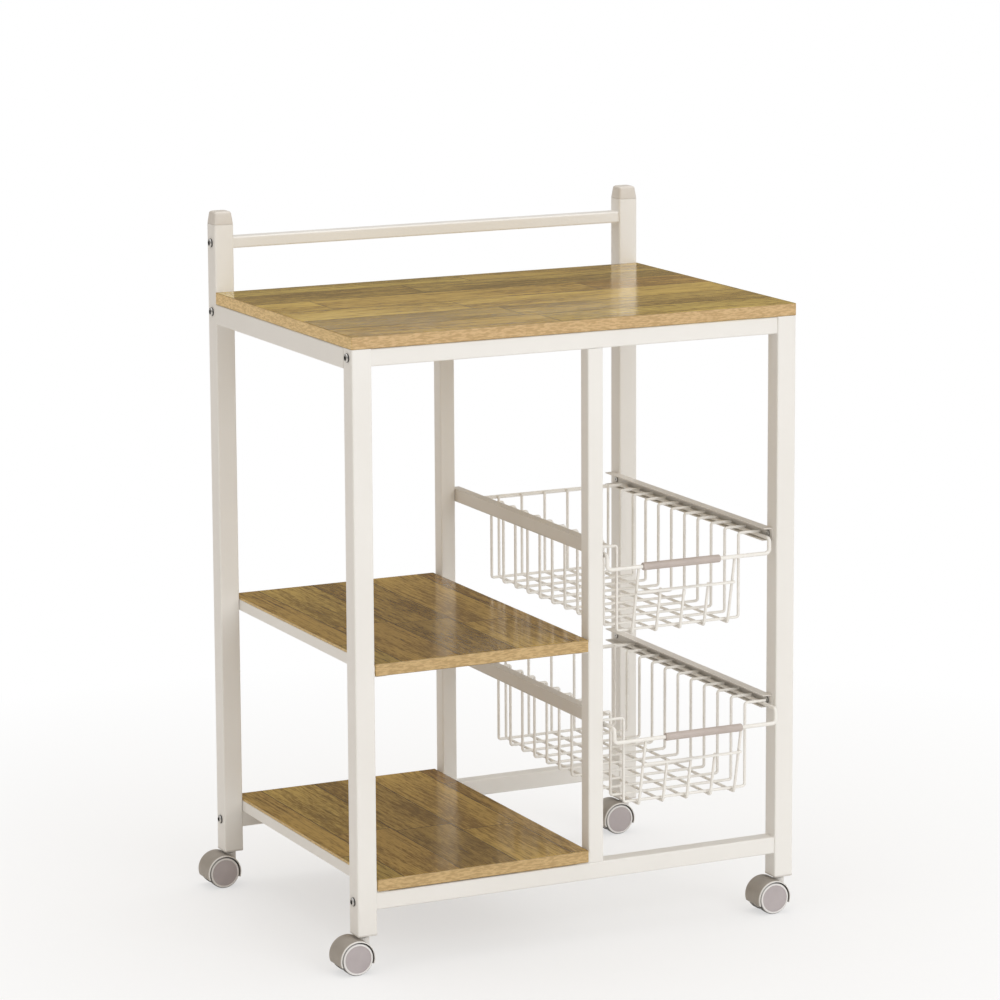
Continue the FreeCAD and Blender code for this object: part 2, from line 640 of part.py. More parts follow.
def tube_plugs():
    """Plugs in the ends of the cross rails and mid posts, bored for their bolts and screws."""
    plugs = new_body("tube_plugs")
    inset = "tube_wall + plug_gap"
    across = f"(cross_tube - 2 * ({inset}))"
    for y in (CROSS_INSET, f"{REAR_POST} + {CROSS_INSET}"):
        for z in (TOP_RAIL, BOTTOM_RAIL):
            for x in ("post_size", f"{RIGHT_POST} - plug_length"):
                box(plugs, ADD, "plug_length", across, across, x, f"{y} + {inset}", f"{z} + {inset}")
                rod(plugs, CUT, "bolt_diameter + 2 * screw_gap", "plug_length", "x",
                    x, f"{y} + cross_tube / 2", f"{z} + cross_tube / 2")
    for x in ("post_size", f"{RIGHT_POST} - plug_length"):
        y = f"{REAR_POST} + {PUSH_INSET}"
        box(plugs, ADD, "plug_length",
            f"push_rail_depth - 2 * ({inset})", f"push_rail_height - 2 * ({inset})",
            x, f"{y} + {inset}", f"{PUSH_RAIL} + {inset}")
        rod(plugs, CUT, "bolt_diameter + 2 * screw_gap", "plug_length", "x",
            x, f"{REAR_POST} + post_size / 2", f"{PUSH_RAIL} + push_rail_height / 2")
    across = f"(mid_post_size - 2 * ({inset}))"
    for y in (MID_INSET, f"{REAR_POST} + {MID_INSET}"):
        for z in (f"{BOTTOM_RAIL} + cross_tube", f"{TOP_RAIL} - plug_length"):
            box(plugs, ADD, across, across, "plug_length",
                f"mid_post_offset + {inset}", f"{y} + {inset}", z)
            rod(plugs, CUT, SCREW_HOLE, "plug_length", "z",
                "mid_post_offset + mid_post_size / 2", f"{y} + mid_post_size / 2", z)


def upright_screw(group, x, y, head_z, through):
    """A screw that points up: head below head_z, shank through a thickness into the piece above."""
    rod(group, ADD, "screw_diameter", f"{through} + screw_bite", "z", x, y, head_z)
    rod(group, ADD, "screw_head_diameter", "screw_head_height", "z",
        x, y, f"{head_z} - screw_head_height")


def mid_post_screws():
    """Screws with their heads inside the cross rails, through the near wall into the mid posts' plugs."""
    screws = new_body("mid_post_screws")
    x = "mid_post_offset + mid_post_size / 2"
    for y in ("post_size / 2", f"{REAR_POST} + post_size / 2"):
        upright_screw(screws, x, y, f"{BOTTOM_RAIL} + cross_tube - tube_wall", "tube_wall")
        rod(screws, ADD, "screw_diameter", "tube_wall + screw_bite", "z",
            x, y, f"{TOP_RAIL} - screw_bite")
        rod(screws, ADD, "screw_head_diameter", "screw_head_height", "z",
            x, y, f"{TOP_RAIL} + tube_wall")


def board_screws():
    """Screws up through the side rails into the panel, and through the angles into the shelves."""
    screws = new_body("board_screws")
    for x in ("post_size / 2", f"{RIGHT_POST} + post_size / 2"):
        for y in ("post_size + panel_screw_inset", f"{REAR_POST} - panel_screw_inset"):
            upright_screw(screws, x, y, f"{POST_TOP} - post_size", "post_size")
    for rise in SHELF_LEVELS.values():
        for x in SCREW_LANES:
            for y in ("shelf_screw_inset", "cart_depth - shelf_screw_inset"):
                upright_screw(screws, f"post_size + {x}", y, f"caster_height + {rise}", "angle_metal")


def runner_screws():
    """Screws through the webs of the runners into the posts."""
    screws = new_body("runner_screws")
    for rise in RUNNER_LEVELS.values():
        z = f"caster_height + {rise} + {RUNNER_MIDDLE}"
        for y in ("runner_screw_inset", "cart_depth - runner_screw_inset"):
            shank = "(runner_metal + screw_bite)"
            rod(screws, ADD, "screw_diameter", shank, "x", f"{MID_RIGHT} - screw_bite", y, z)
            rod(screws, ADD, "screw_head_diameter", "screw_head_height", "x",
                f"{MID_RIGHT} + runner_metal", y, z)
            rod(screws, ADD, "screw_diameter", shank, "x", f"{RIGHT_POST} - runner_metal", y, z)
            rod(screws, ADD, "screw_head_diameter", "screw_head_height", "x",
                f"{RIGHT_POST} - runner_metal - screw_head_height", y, z)


frame_bolts()
tube_plugs()
mid_post_screws()
board_screws()
runner_screws()


# Check every object, then write each sub-part about the middle of the footprint

doc.recompute()
for item in doc.Objects:
    if "Invalid" in item.State or "Error" in item.State:
        raise RuntimeError(f"{item.Label} failed: {item.State}")
whole = FreeCAD.BoundBox()
for part in subparts:
    if part.Shape.isNull() or not part.Shape.isValid() or not part.Shape.Solids:
        raise RuntimeError(f"{part.Label} has no valid solid")
    whole.add(part.Shape.optimalBoundingBox(False, False))
to_origin = Vector(-whole.Center.x, -whole.Center.y, -whole.ZMin)

os.makedirs("parts", exist_ok=True)
for part in subparts:
    part.Shape.translated(to_origin).exportStep(f"parts/{part.Label}.step")
    print(f"{part.Label}: {len(part.Shape.Solids)} solids, {part.Shape.Volume:.0f} mm3")
print(f"origin at {whole.Center.x:.3f}, {whole.Center.y:.3f}")
print(f"box {whole.XLength:.1f} x {whole.YLength:.1f} x {whole.ZLength:.1f}")
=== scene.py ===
import math

import bmesh
import bpy
from mathutils import Matrix, Vector


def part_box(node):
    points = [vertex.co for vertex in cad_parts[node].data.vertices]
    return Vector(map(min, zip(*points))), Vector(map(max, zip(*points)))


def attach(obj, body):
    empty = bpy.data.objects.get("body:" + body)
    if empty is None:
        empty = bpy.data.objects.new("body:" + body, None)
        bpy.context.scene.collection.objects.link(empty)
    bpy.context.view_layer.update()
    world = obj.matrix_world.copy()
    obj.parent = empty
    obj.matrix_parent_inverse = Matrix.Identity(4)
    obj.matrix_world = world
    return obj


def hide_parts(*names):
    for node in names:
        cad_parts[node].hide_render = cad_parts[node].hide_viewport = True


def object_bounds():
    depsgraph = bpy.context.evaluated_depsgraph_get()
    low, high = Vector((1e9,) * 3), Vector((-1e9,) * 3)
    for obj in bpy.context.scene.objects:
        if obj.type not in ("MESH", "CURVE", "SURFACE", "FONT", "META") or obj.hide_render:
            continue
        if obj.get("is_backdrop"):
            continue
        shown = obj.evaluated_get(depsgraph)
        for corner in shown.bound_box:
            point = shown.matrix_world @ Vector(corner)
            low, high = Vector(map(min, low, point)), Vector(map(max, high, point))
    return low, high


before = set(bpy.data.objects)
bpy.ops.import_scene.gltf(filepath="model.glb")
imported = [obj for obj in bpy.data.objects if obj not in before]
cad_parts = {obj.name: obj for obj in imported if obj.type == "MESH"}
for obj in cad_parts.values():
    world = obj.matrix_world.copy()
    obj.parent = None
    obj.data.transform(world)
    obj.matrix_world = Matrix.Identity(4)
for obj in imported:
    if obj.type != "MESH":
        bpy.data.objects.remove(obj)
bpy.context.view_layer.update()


# Tube frame
# Square steel tube, cut to length, welded into two side frames and bolted together by the cross rails.
# It is powder-coated warm white: a satin skin with fine orange peel and a little tone drift.

class Link:
    """A socket of a node tree. Arithmetic on it adds Math nodes, and node() adds any other kind."""

    def __init__(self, tree, socket=None):
        self.tree = tree
        self.socket = socket

    @staticmethod
    def pick(sockets, name):
        if isinstance(name, int):
            return sockets[name]
        return next(socket for socket in sockets if socket.name == name and socket.enabled)

    def node(self, kind, inputs=None, output=0, **settings):
        made = self.tree.nodes.new(kind)
        for name, value in settings.items():
            setattr(made, name, value)
        for name, value in (inputs or {}).items():
            target = self.pick(made.inputs, name)
            if isinstance(value, Link):
                self.tree.links.new(value.socket, target)
            else:
                target.default_value = value
        return Link(self.tree, self.pick(made.outputs, output) if made.outputs else None)

    def maths(self, operation, *values):
        return self.node("ShaderNodeMath", dict(enumerate(values)), operation=operation)

    def __add__(self, other):
        return self.maths("ADD", self, other)

    def __sub__(self, other):
        return self.maths("SUBTRACT", self, other)

    def __rsub__(self, other):
        return self.maths("SUBTRACT", other, self)

    def __mul__(self, other):
        return self.maths("MULTIPLY", self, other)

    def __truediv__(self, other):
        return self.maths("DIVIDE", self, other)

    def __lt__(self, other):
        return self.maths("LESS_THAN", self, other)

    def __gt__(self, other):
        return self.maths("GREATER_THAN", self, other)

    __radd__ = __add__
    __rmul__ = __mul__

    def mix(self, factor, first, second, blend="MIX"):
        inputs = {"Factor": factor, "A": first, "B": second}
        return self.node("ShaderNodeMix", inputs, "Result", data_type="RGBA", blend_type=blend)

    def noise(self, place, scale, detail=3.0, roughness=0.5):
        inputs = {"Vector": place, "Scale": scale, "Detail": detail, "Roughness": roughness}
        return self.node("ShaderNodeTexNoise", inputs)

    def spread(self, value, low, high, to_low=0.0, to_high=1.0):
        """Stretch a value from one range to another, held at both ends."""
        inputs = {"Value": value, "From Min": low, "From Max": high,
                  "To Min": to_low, "To Max": to_high}
        return self.node("ShaderNodeMapRange", inputs)

    def bump(self, height, distance, strength=1.0):
        inputs = {"Height": height, "Distance": distance, "Strength": strength}
        return self.node("ShaderNodeBump", inputs)

    def place(self):
        return self.node("ShaderNodeTexCoord", output="Object")

    def axes(self, vector):
        split = self.node("ShaderNodeSeparateXYZ", {0: vector}).socket.node
        return [Link(self.tree, split.outputs[index]) for index in range(3)]

    def vector(self, x, y, z):
        return self.node("ShaderNodeCombineXYZ", {0: x, 1: y, 2: z})


def new_finish(name):
    """A material with its shader's sockets by name, and a link to add nodes from."""
    material = bpy.data.materials.new(name)
    material.use_nodes = True
    return material, material.node_tree.nodes["Principled BSDF"].inputs, Link(material.node_tree)


def feed(socket, value):
    """Link a value that changes over the surface to a shader's socket."""
    value.tree.links.new(value.socket, socket)


def coated_metal(name, colour, shade, peel, gloss):
    """Sprayed or dipped coating: a slight drift of tone, fine peel in the skin and patchy gloss."""
    material, sockets, link = new_finish(name)
    where = link.place()
    drift = link.spread(link.noise(where, 5.0, 4.0), 0.35, 0.68)
    feed(sockets["Base Color"], link.mix(drift, (*shade, 1), (*colour, 1)))
    rubbed = link.noise(where, 55.0, 5.0, 0.6)
    feed(sockets["Roughness"], link.spread(rubbed, 0.3, 0.7, gloss - 0.06, gloss + 0.08))
    skin = link.noise(where, 620.0, 2.0) + link.noise(where, 160.0, 2.0) * 0.6
    feed(sockets["Normal"], link.bump(skin, peel, 0.5))
    return material


def dress(node, material):
    """Give one of the solids its finish."""
    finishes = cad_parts[node].data.materials
    finishes.clear()
    finishes.append(material)


COAT_PEEL = 0.00012
COAT_WHITE = ((0.86, 0.845, 0.815), (0.825, 0.805, 0.77))
powder_coat = coated_metal("warm white powder coat", *COAT_WHITE, COAT_PEEL, gloss=0.38)
for name in ("left_front_post", "left_rear_post", "right_front_post", "right_rear_post",
             "mid_front_post", "mid_rear_post", "left_side_rail", "right_side_rail",
             "front_top_rail", "front_bottom_rail", "rear_top_rail", "rear_bottom_rail", "push_rail"):
    dress(name, powder_coat)


# Weld beads
# The side rails are welded to the posts in the corner under each rail, and the shelf angles at their
# ends. Short runs of overlapping drops, coated with the frame.

def new_tree(name, sizes):
    """A Geometry Nodes tree with a named input for each size, and those inputs as links."""
    tree = bpy.data.node_groups.new(name, "GeometryNodeTree")
    tree.interface.new_socket("Geometry", in_out="INPUT", socket_type="NodeSocketGeometry")
    for size, kind in sizes.items():
        tree.interface.new_socket(size, in_out="INPUT", socket_type=f"NodeSocket{kind}")
    tree.interface.new_socket("Geometry", in_out="OUTPUT", socket_type="NodeSocketGeometry")
    start = tree.nodes.new("NodeGroupInput")
    return tree, {socket.name: Link(tree, socket) for socket in start.outputs if socket.name}


def close_tree(geometry, material):
    """End a tree with real geometry, smooth faces and its material."""
    real = geometry.node("GeometryNodeRealizeInstances", {0: geometry})
    smooth = real.node("GeometryNodeSetShadeSmooth", {0: real})
    painted = smooth.node("GeometryNodeSetMaterial", {0: smooth, "Material": material})
    painted.node("NodeGroupOutput", {0: painted})


def run_tree(tree, points, edges, values):
    """Run a tree on points and the edges between them, and keep what it makes as a plain mesh."""
    path = bpy.data.meshes.new("path")
    path.from_pydata(points, edges, [])
    carrier = bpy.data.objects.new("path", path)
    bpy.context.scene.collection.objects.link(carrier)
    modifier = carrier.modifiers.new("grow", "NODES")
    modifier.node_group = tree
    for item in tree.interface.items_tree:
        if item.name in values:
            modifier[item.identifier] = values[item.name]
    grown = carrier.evaluated_get(bpy.context.evaluated_depsgraph_get())
    mesh = bpy.data.meshes.new_from_object(grown)
    bpy.data.objects.remove(carrier)
    bpy.data.meshes.remove(path)
    return mesh


def new_piece(name, mesh, body, slot, *replaced):
    """A finished piece: it rides on its body and stands for the solids it replaces."""
    piece = bpy.data.objects.new(name, mesh)
    bpy.context.scene.collection.objects.link(piece)
    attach(piece, body)
    if replaced:
        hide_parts(*replaced)
    return piece


def chains(*runs):
    """Points and edges of several runs of points."""
    points = [point for run in runs for point in run]
    edges = []
    start = 0
    for run in runs:
        edges += [(start + index, start + index + 1) for index in range(len(run) - 1)]
        start += len(run)
    return points, edges


bead_tree, given = new_tree("weld bead", {"Drop": "Float", "Pitch": "Float", "Material": "Material"})
seam = given["Geometry"].node("GeometryNodeMeshToCurve", {0: given["Geometry"]})
spots = seam.node("GeometryNodeCurveToPoints", {"Curve": seam, "Length": given["Pitch"]},
                  mode="LENGTH")
drop = seam.node("GeometryNodeMeshIcoSphere", {"Radius": given["Drop"], "Subdivisions": 2})
swell = seam.node("FunctionNodeRandomValue", {"Min": 0.8, "Max": 1.15, "Seed": 11}, 1,
                  data_type="FLOAT")
beads = seam.node("GeometryNodeInstanceOnPoints", {"Points": spots, "Instance": drop, "Scale": swell})
close_tree(beads, given["Material"])

RAIL_WELD_INSET = 0.003
ANGLE_WELD_INSET = 0.002
BEAD_DROP = 0.0013
BEAD_PITCH = 0.0017
weld_runs = []
for side in ("left", "right"):
    low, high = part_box(f"{side}_side_rail")
    for y in (low.y, high.y):
        weld_runs.append([(low.x + RAIL_WELD_INSET, y, low.z), (high.x - RAIL_WELD_INSET, y, low.z)])
for level in ("middle", "bottom"):
    low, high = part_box(f"{level}_shelf_angles")
    for x in (low.x, high.x):
        for y in (low.y, high.y):
            weld_runs.append([(x, y, low.z + ANGLE_WELD_INSET), (x, y, high.z - ANGLE_WELD_INSET)])
weld_sizes = {"Drop": BEAD_DROP, "Pitch": BEAD_PITCH, "Material": powder_coat}
weld_mesh = run_tree(bead_tree, *chains(*weld_runs), weld_sizes)
new_piece("frame_weld_beads", weld_mesh, "frame", "white_coat")


# Shelf angles and basket runners
# Thin bent steel: angles welded to the posts under each shelf, and channels screwed to the posts for
# the baskets. Coated like the frame, the runners a little greyer and rubbed where the wire slides.

for level in ("middle", "bottom"):
    dress(f"{level}_shelf_angles", powder_coat)

RUNNER_WHITE = ((0.80, 0.775, 0.73), (0.745, 0.715, 0.67))
TRACK_GREY = (0.36, 0.34, 0.31, 1)
TRACK_HEIGHT = 0.0022


def runner_finish(name, floor_height):
    """The frame's coat with a rubbed track along the floor of the channel."""
    material = coated_metal(name, *RUNNER_WHITE, COAT_PEEL, gloss=0.40)
    sockets = material.node_tree.nodes["Principled BSDF"].inputs
    link = Link(material.node_tree)
    coat = Link(material.node_tree, sockets["Base Color"].links[0].from_socket)
    where = link.place()
    x, y, z = link.axes(where)
    track = link.spread(z, floor_height, floor_height + TRACK_HEIGHT, 1.0, 0.0)
    streaks = link.noise(link.vector(x * 900.0, y * 12.0, z), 1.0, 3.0)
    worn = track * link.spread(streaks, 0.42, 0.62)
    feed(sockets["Base Color"], link.mix(worn * 0.55, coat, TRACK_GREY))
    return material


for level in ("upper", "lower"):
    low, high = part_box(f"{level}_left_runner")
    rubbed_coat = runner_finish(f"{level} runner coat", low.z)
    for side in ("left", "right"):
        dress(f"{level}_{side}_runner", rubbed_coat)


# Post caps and caster sockets
# Moulded plastic pressed into the tube ends: tapered caps on the rear posts, flanged sockets under all
# four. Satin, with a faint moulded grain.

SPARK_GRAIN = 0.00006


def moulded_plastic(name, colour, shade, gloss):
    """Injection-moulded plastic: flow marks in the tone, fine spark grain and slight polish marks."""
    material, sockets, link = new_finish(name)
    where = link.place()
    flow = link.spread(link.noise(where, 38.0, 4.0, 0.6), 0.32, 0.7)
    feed(sockets["Base Color"], link.mix(flow, (*shade, 1), (*colour, 1)))
    polish = link.noise(where, 210.0, 3.0)
    feed(sockets["Roughness"], link.spread(polish, 0.3, 0.7, gloss - 0.05, gloss + 0.08))
    feed(sockets["Normal"], link.bump(link.noise(where, 1900.0, 2.0), SPARK_GRAIN, 0.4))
    return material


CAP_GREY = ((0.735, 0.695, 0.645), (0.68, 0.64, 0.59))
SOCKET_GREY = ((0.74, 0.715, 0.68), (0.68, 0.65, 0.61))
cap_plastic = moulded_plastic("cap plastic", *CAP_GREY, gloss=0.42)
socket_plastic = moulded_plastic("socket plastic", *SOCKET_GREY, gloss=0.45)
for name in ("caster_sockets", "tube_plugs"):
    dress(name, socket_plastic)


def stacked(rings, material):
    """A closed mesh through rings of equal count, from the lowest ring to the highest."""
    shape = bmesh.new()
    loops = [[shape.verts.new(point) for point in ring] for ring in rings]
    for one, two in zip(loops, loops[1:]):
        for index in range(len(one)):
            following = (index + 1) % len(one)
            shape.faces.new((one[index], one[following], two[following], two[index]))
    shape.faces.new(loops[0])
    shape.faces.new(loops[-1])
    bmesh.ops.recalc_face_normals(shape, faces=shape.faces)
    for face in shape.faces:
        face.smooth = True
    mesh = bpy.data.meshes.new("stacked")
    shape.to_mesh(mesh)
    shape.free()
    mesh.materials.append(material)
    mesh.set_sharp_from_angle(angle=math.radians(40))
    return mesh


def rounded_square(x, y, z, half, corner):
    """Points round a square with rounded corners."""
    points = []
    for quadrant in range(4):
        middle = math.pi / 2 * (quadrant + 0.5)
        corner_x = x + math.copysign(half - corner, math.cos(middle))
        corner_y = y + math.copysign(half - corner, math.sin(middle))
        for step in range(CAP_CORNER_STEPS + 1):
            turn = math.pi / 2 * (quadrant + step / CAP_CORNER_STEPS)
            points.append((corner_x + corner * math.cos(turn), corner_y + corner * math.sin(turn), z))
    return points


def quarter(start, stop, steps=4):
    """Points of a quarter round that leaves along the second axis and arrives along the first."""
    turns = [math.pi / 2 * step / steps for step in range(steps + 1)]
    return [(start[0] + (stop[0] - start[0]) * (1 - math.cos(turn)),
             start[1] + (stop[1] - start[1]) * math.sin(turn)) for turn in turns]


CAP_FOOT = 0.0009
CAP_LEAN = 0.0014
CAP_SHOULDER = 0.003
CAP_CORNER = 0.0022
CAP_CORNER_GROWTH = 1 / 16
CAP_CORNER_STEPS = 5
CAP_PLUG_INSET = 0.0015


def cap_rings(x, y, post_half, plug_end, post_end, top):
    """Rings of one cap: a plug in the tube, a rounded foot, leaning sides and a round shoulder."""
    plug_half = post_half - CAP_PLUG_INSET
    upper_half = post_half - CAP_LEAN
    foot = quarter((post_end, post_half - CAP_FOOT), (post_end + CAP_FOOT, post_half))
    shoulder = quarter((top, upper_half - CAP_SHOULDER), (top - CAP_SHOULDER, upper_half), 8)
    heights = [(plug_end, plug_half), (post_end, plug_half), *foot, *reversed(shoulder)]
    return [rounded_square(x, y, z, half, CAP_CORNER + (z - post_end) * CAP_CORNER_GROWTH)
            for z, half in heights]


caps = bmesh.new()
plug_foot, cap_top = (corner.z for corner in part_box("rear_post_caps"))
for side in ("left", "right"):
    low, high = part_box(f"{side}_rear_post")
    middle = (low + high) / 2
    post_half = (high.x - low.x) / 2
    rings = cap_rings(middle.x, middle.y, post_half, plug_foot, high.z, cap_top)
    cap = stacked(rings, cap_plastic)
    caps.from_mesh(cap)
    bpy.data.meshes.remove(cap)
cap_mesh = bpy.data.meshes.new("rear_post_end_caps")
caps.to_mesh(cap_mesh)
caps.free()
cap_mesh.materials.append(cap_plastic)
new_piece("rear_post_end_caps", cap_mesh, "frame", "cap_plastic", "rear_post_caps")


# Boards
# Particle board with a glossy wood-print laminate on both faces and a paler print on the edge band.
# The print shows planks along the board's long side, with staggered ends and a fine dark joint.

PLANK_WIDTH = 0.074
PLANK_LENGTH = 0.36
FINE_JOINT = (0.0004, 0.0011)
GLUE_LINE = (0.0004, 0.0010)
PRINT_RELIEF = 0.00008
# painted light on the edge band of the left and right sides
SHORT_SIDE_PAINTED_LIGHT = (1.28, 1.34, 1.23, 1)


def board_print(name, node, along, light, dark, band_light, band_dark):
    """Plank print on the flat faces and edge band on the sides, told apart by the surface's normal."""
    material, sockets, link = new_finish(name)
    low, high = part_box(node)
    where = link.place()
    x, y, z = link.axes(where)
    length, across = (x, y) if along == "x" else (y, x)
    row = link.maths("FLOOR", across / PLANK_WIDTH)
    row_shift = link.node("ShaderNodeTexWhiteNoise", {"W": row}, noise_dimensions="1D")
    run = length / PLANK_LENGTH + row_shift
    cell = link.maths("FLOOR", run)
    chance = link.node("ShaderNodeTexWhiteNoise", {"Vector": link.vector(row, cell, 3.0)})
    cloud_place = link.vector(length * 3.2 + chance * 9.0, across * 17.0 + chance * 31.0,
                              chance * 17.0)
    broad = link.noise(cloud_place, 1.0, 4.0)
    streak_place = link.vector(length * 12.0, across * 210.0 + chance * 40.0, chance * 23.0)
    streaks = link.noise(streak_place, 1.0, 4.0, 0.65)
    flecks = link.noise(link.vector(length * 60.0, across * 520.0, chance * 40.0), 1.0, 3.0, 0.6)
    grain = broad * 0.34 + streaks * 0.30 + flecks * 0.36
    print_colour = link.mix(link.spread(grain, 0.45, 0.55), (*dark, 1), (*light, 1))
    vein_place = link.vector(length * 6.0, across * 300.0 + chance * 70.0, chance * 11.0)
    veins = link.spread(link.noise(vein_place, 1.0, 3.0, 0.6), 0.58, 0.68)
    vein_colour = [value * 0.5 for value in dark]
    print_colour = link.mix(veins * 0.55, print_colour, (*vein_colour, 1))
    tint = link.spread(chance, 0.0, 1.0, 0.76, 1.19)
    hue = link.node("ShaderNodeTexWhiteNoise", {"Vector": link.vector(cell, row, 8.0)})
    green = tint * link.spread(hue, 0.0, 1.0, 0.93, 1.05)
    print_colour = link.mix(1.0, print_colour, link.vector(tint, green, green * 0.98), "MULTIPLY")
    across_part = link.maths("FRACT", across / PLANK_WIDTH)
    run_part = link.maths("FRACT", run)
    side_gap = link.maths("MINIMUM", across_part, 1 - across_part) * PLANK_WIDTH
    end_gap = link.maths("MINIMUM", run_part, 1 - run_part) * PLANK_LENGTH
    joint = link.spread(link.maths("MINIMUM", side_gap, end_gap), *FINE_JOINT, 1.0, 0.0)
    joint_colour = [value * 0.35 for value in dark]
    print_colour = link.mix(joint * 0.85, print_colour, (*joint_colour, 1))

    band_streak = link.noise(link.vector(x * 130.0, y * 130.0, z * 640.0), 1.0, 4.0, 0.6)
    band_colour = link.mix(link.spread(band_streak, 0.44, 0.57), (*band_dark, 1), (*band_light, 1))
    facing = link.axes(link.node("ShaderNodeNewGeometry", output="Normal"))
    short_side = link.maths("ABSOLUTE", facing[0]) > 0.7
    # painted light: the edge band on the left and right sides is painted lighter and a little yellower,
    # so that it looks as bright as the front band under less light
    band_colour = link.mix(short_side, band_colour, SHORT_SIDE_PAINTED_LIGHT, "MULTIPLY")
    to_face = link.maths("MINIMUM", z - low.z, high.z - z)
    glue_line = link.spread(to_face, *GLUE_LINE, 1.0, 0.0)
    band_colour = link.mix(glue_line * 0.75, band_colour, (*vein_colour, 1))

    is_flat = link.maths("ABSOLUTE", facing[2]) > 0.7
    feed(sockets["Base Color"], link.mix(is_flat, band_colour, print_colour))
    smear = link.noise(where, 14.0, 4.0)
    flat_gloss = link.spread(smear, 0.3, 0.7, 0.13, 0.21)
    feed(sockets["Roughness"], is_flat * flat_gloss + (1 - is_flat) * 0.36)
    relief = (grain * 0.5 - joint) * is_flat + band_streak * (1 - is_flat) * 0.4
    feed(sockets["Normal"], link.bump(relief, PRINT_RELIEF, 0.5))
    return material


PANEL_PRINT = ((0.66, 0.455, 0.112), (0.325, 0.198, 0.036))
PANEL_BAND = ((0.655, 0.452, 0.228), (0.50, 0.328, 0.145))
SHELF_PRINT = ((0.57, 0.374, 0.095), (0.27, 0.157, 0.029))
SHELF_BAND = ((0.615, 0.432, 0.206), (0.455, 0.302, 0.128))
for node, along, print_pair, band_pair in (
    ("top_panel", "x", PANEL_PRINT, PANEL_BAND),
    ("middle_shelf", "y", SHELF_PRINT, SHELF_BAND),
    ("bottom_shelf", "y", SHELF_PRINT, SHELF_BAND),
):
    dress(node, board_print(f"{node} laminate", node, along, *print_pair, *band_pair))


# Wire baskets
# A thick rim wire bent round and stepped down at the front into a handle bar, with thin ribs and
# lengthwise wires spot-welded to it. Each basket is dipped in a glossy ivory coat that fills the welds.

WIRE_IVORY = ((0.91, 0.895, 0.86), (0.86, 0.84, 0.80))
wire_coat = coated_metal("ivory dip coat", *WIRE_IVORY, peel=0.00005, gloss=0.26)
RIB_COUNT = 11
LONG_COUNT = 5
RIM_RADIUS = 0.0025
WIRE_RADIUS = 0.00175
RIM_BEND = 0.005
WIRE_BEND = 0.003
RIB_TAB = 0.027
FRONT_LEAN = 0.018
WELD_GAP = 0.00005
HANDLE_WELD_BACK = 0.0006
NUGGET = {"Size": 0.00125, "Flat": (1.15, 1.15, 0.9), "Material": wire_coat}

wire_tree, given = new_tree("bent wire", {
    "Bend": "Float", "Radius": "Float", "Count": "Int", "Step": "Vector", "Material": "Material"})
run = given["Geometry"].node("GeometryNodeMeshToCurve", {0: given["Geometry"]})
bent = run.node("GeometryNodeFilletCurve", {"Curve": run, "Count": 7, "Radius": given["Bend"]},
                mode="POLY")
section = run.node("GeometryNodeCurvePrimitiveCircle", {"Resolution": 12, "Radius": given["Radius"]})
wire = run.node("GeometryNodeCurveToMesh", {"Curve": bent, "Profile Curve": section, "Fill Caps": True})
row = run.node("GeometryNodeMeshLine", {"Count": given["Count"], "Offset": given["Step"]},
               mode="OFFSET")
wires = run.node("GeometryNodeInstanceOnPoints", {"Points": row, "Instance": wire})
close_tree(wires, given["Material"])

nugget_tree, given = new_tree("weld nuggets", {
    "Size": "Float", "Flat": "Vector", "Material": "Material"})
crossing = given["Geometry"]
lump = crossing.node("GeometryNodeMeshIcoSphere", {"Radius": given["Size"], "Subdivisions": 2})
flat_lump = lump.node("GeometryNodeTransform", {"Geometry": lump, "Scale": given["Flat"]})
swell = lump.node("FunctionNodeRandomValue", {"Min": 0.85, "Max": 1.2, "Seed": 5}, 1,
                  data_type="FLOAT")
lumps = lump.node("GeometryNodeInstanceOnPoints", {
    "Points": crossing, "Instance": flat_lump, "Scale": swell})
close_tree(lumps, given["Material"])


def bend_wire(runs, radius, bend, count=1, step=(0, 0, 0)):
    """Round wire along each run of points, with bent corners, repeated in even steps."""
    sizes = {"Bend": bend, "Radius": radius, "Count": count, "Step": step, "Material": wire_coat}
    return run_tree(wire_tree, *chains(*runs), sizes)


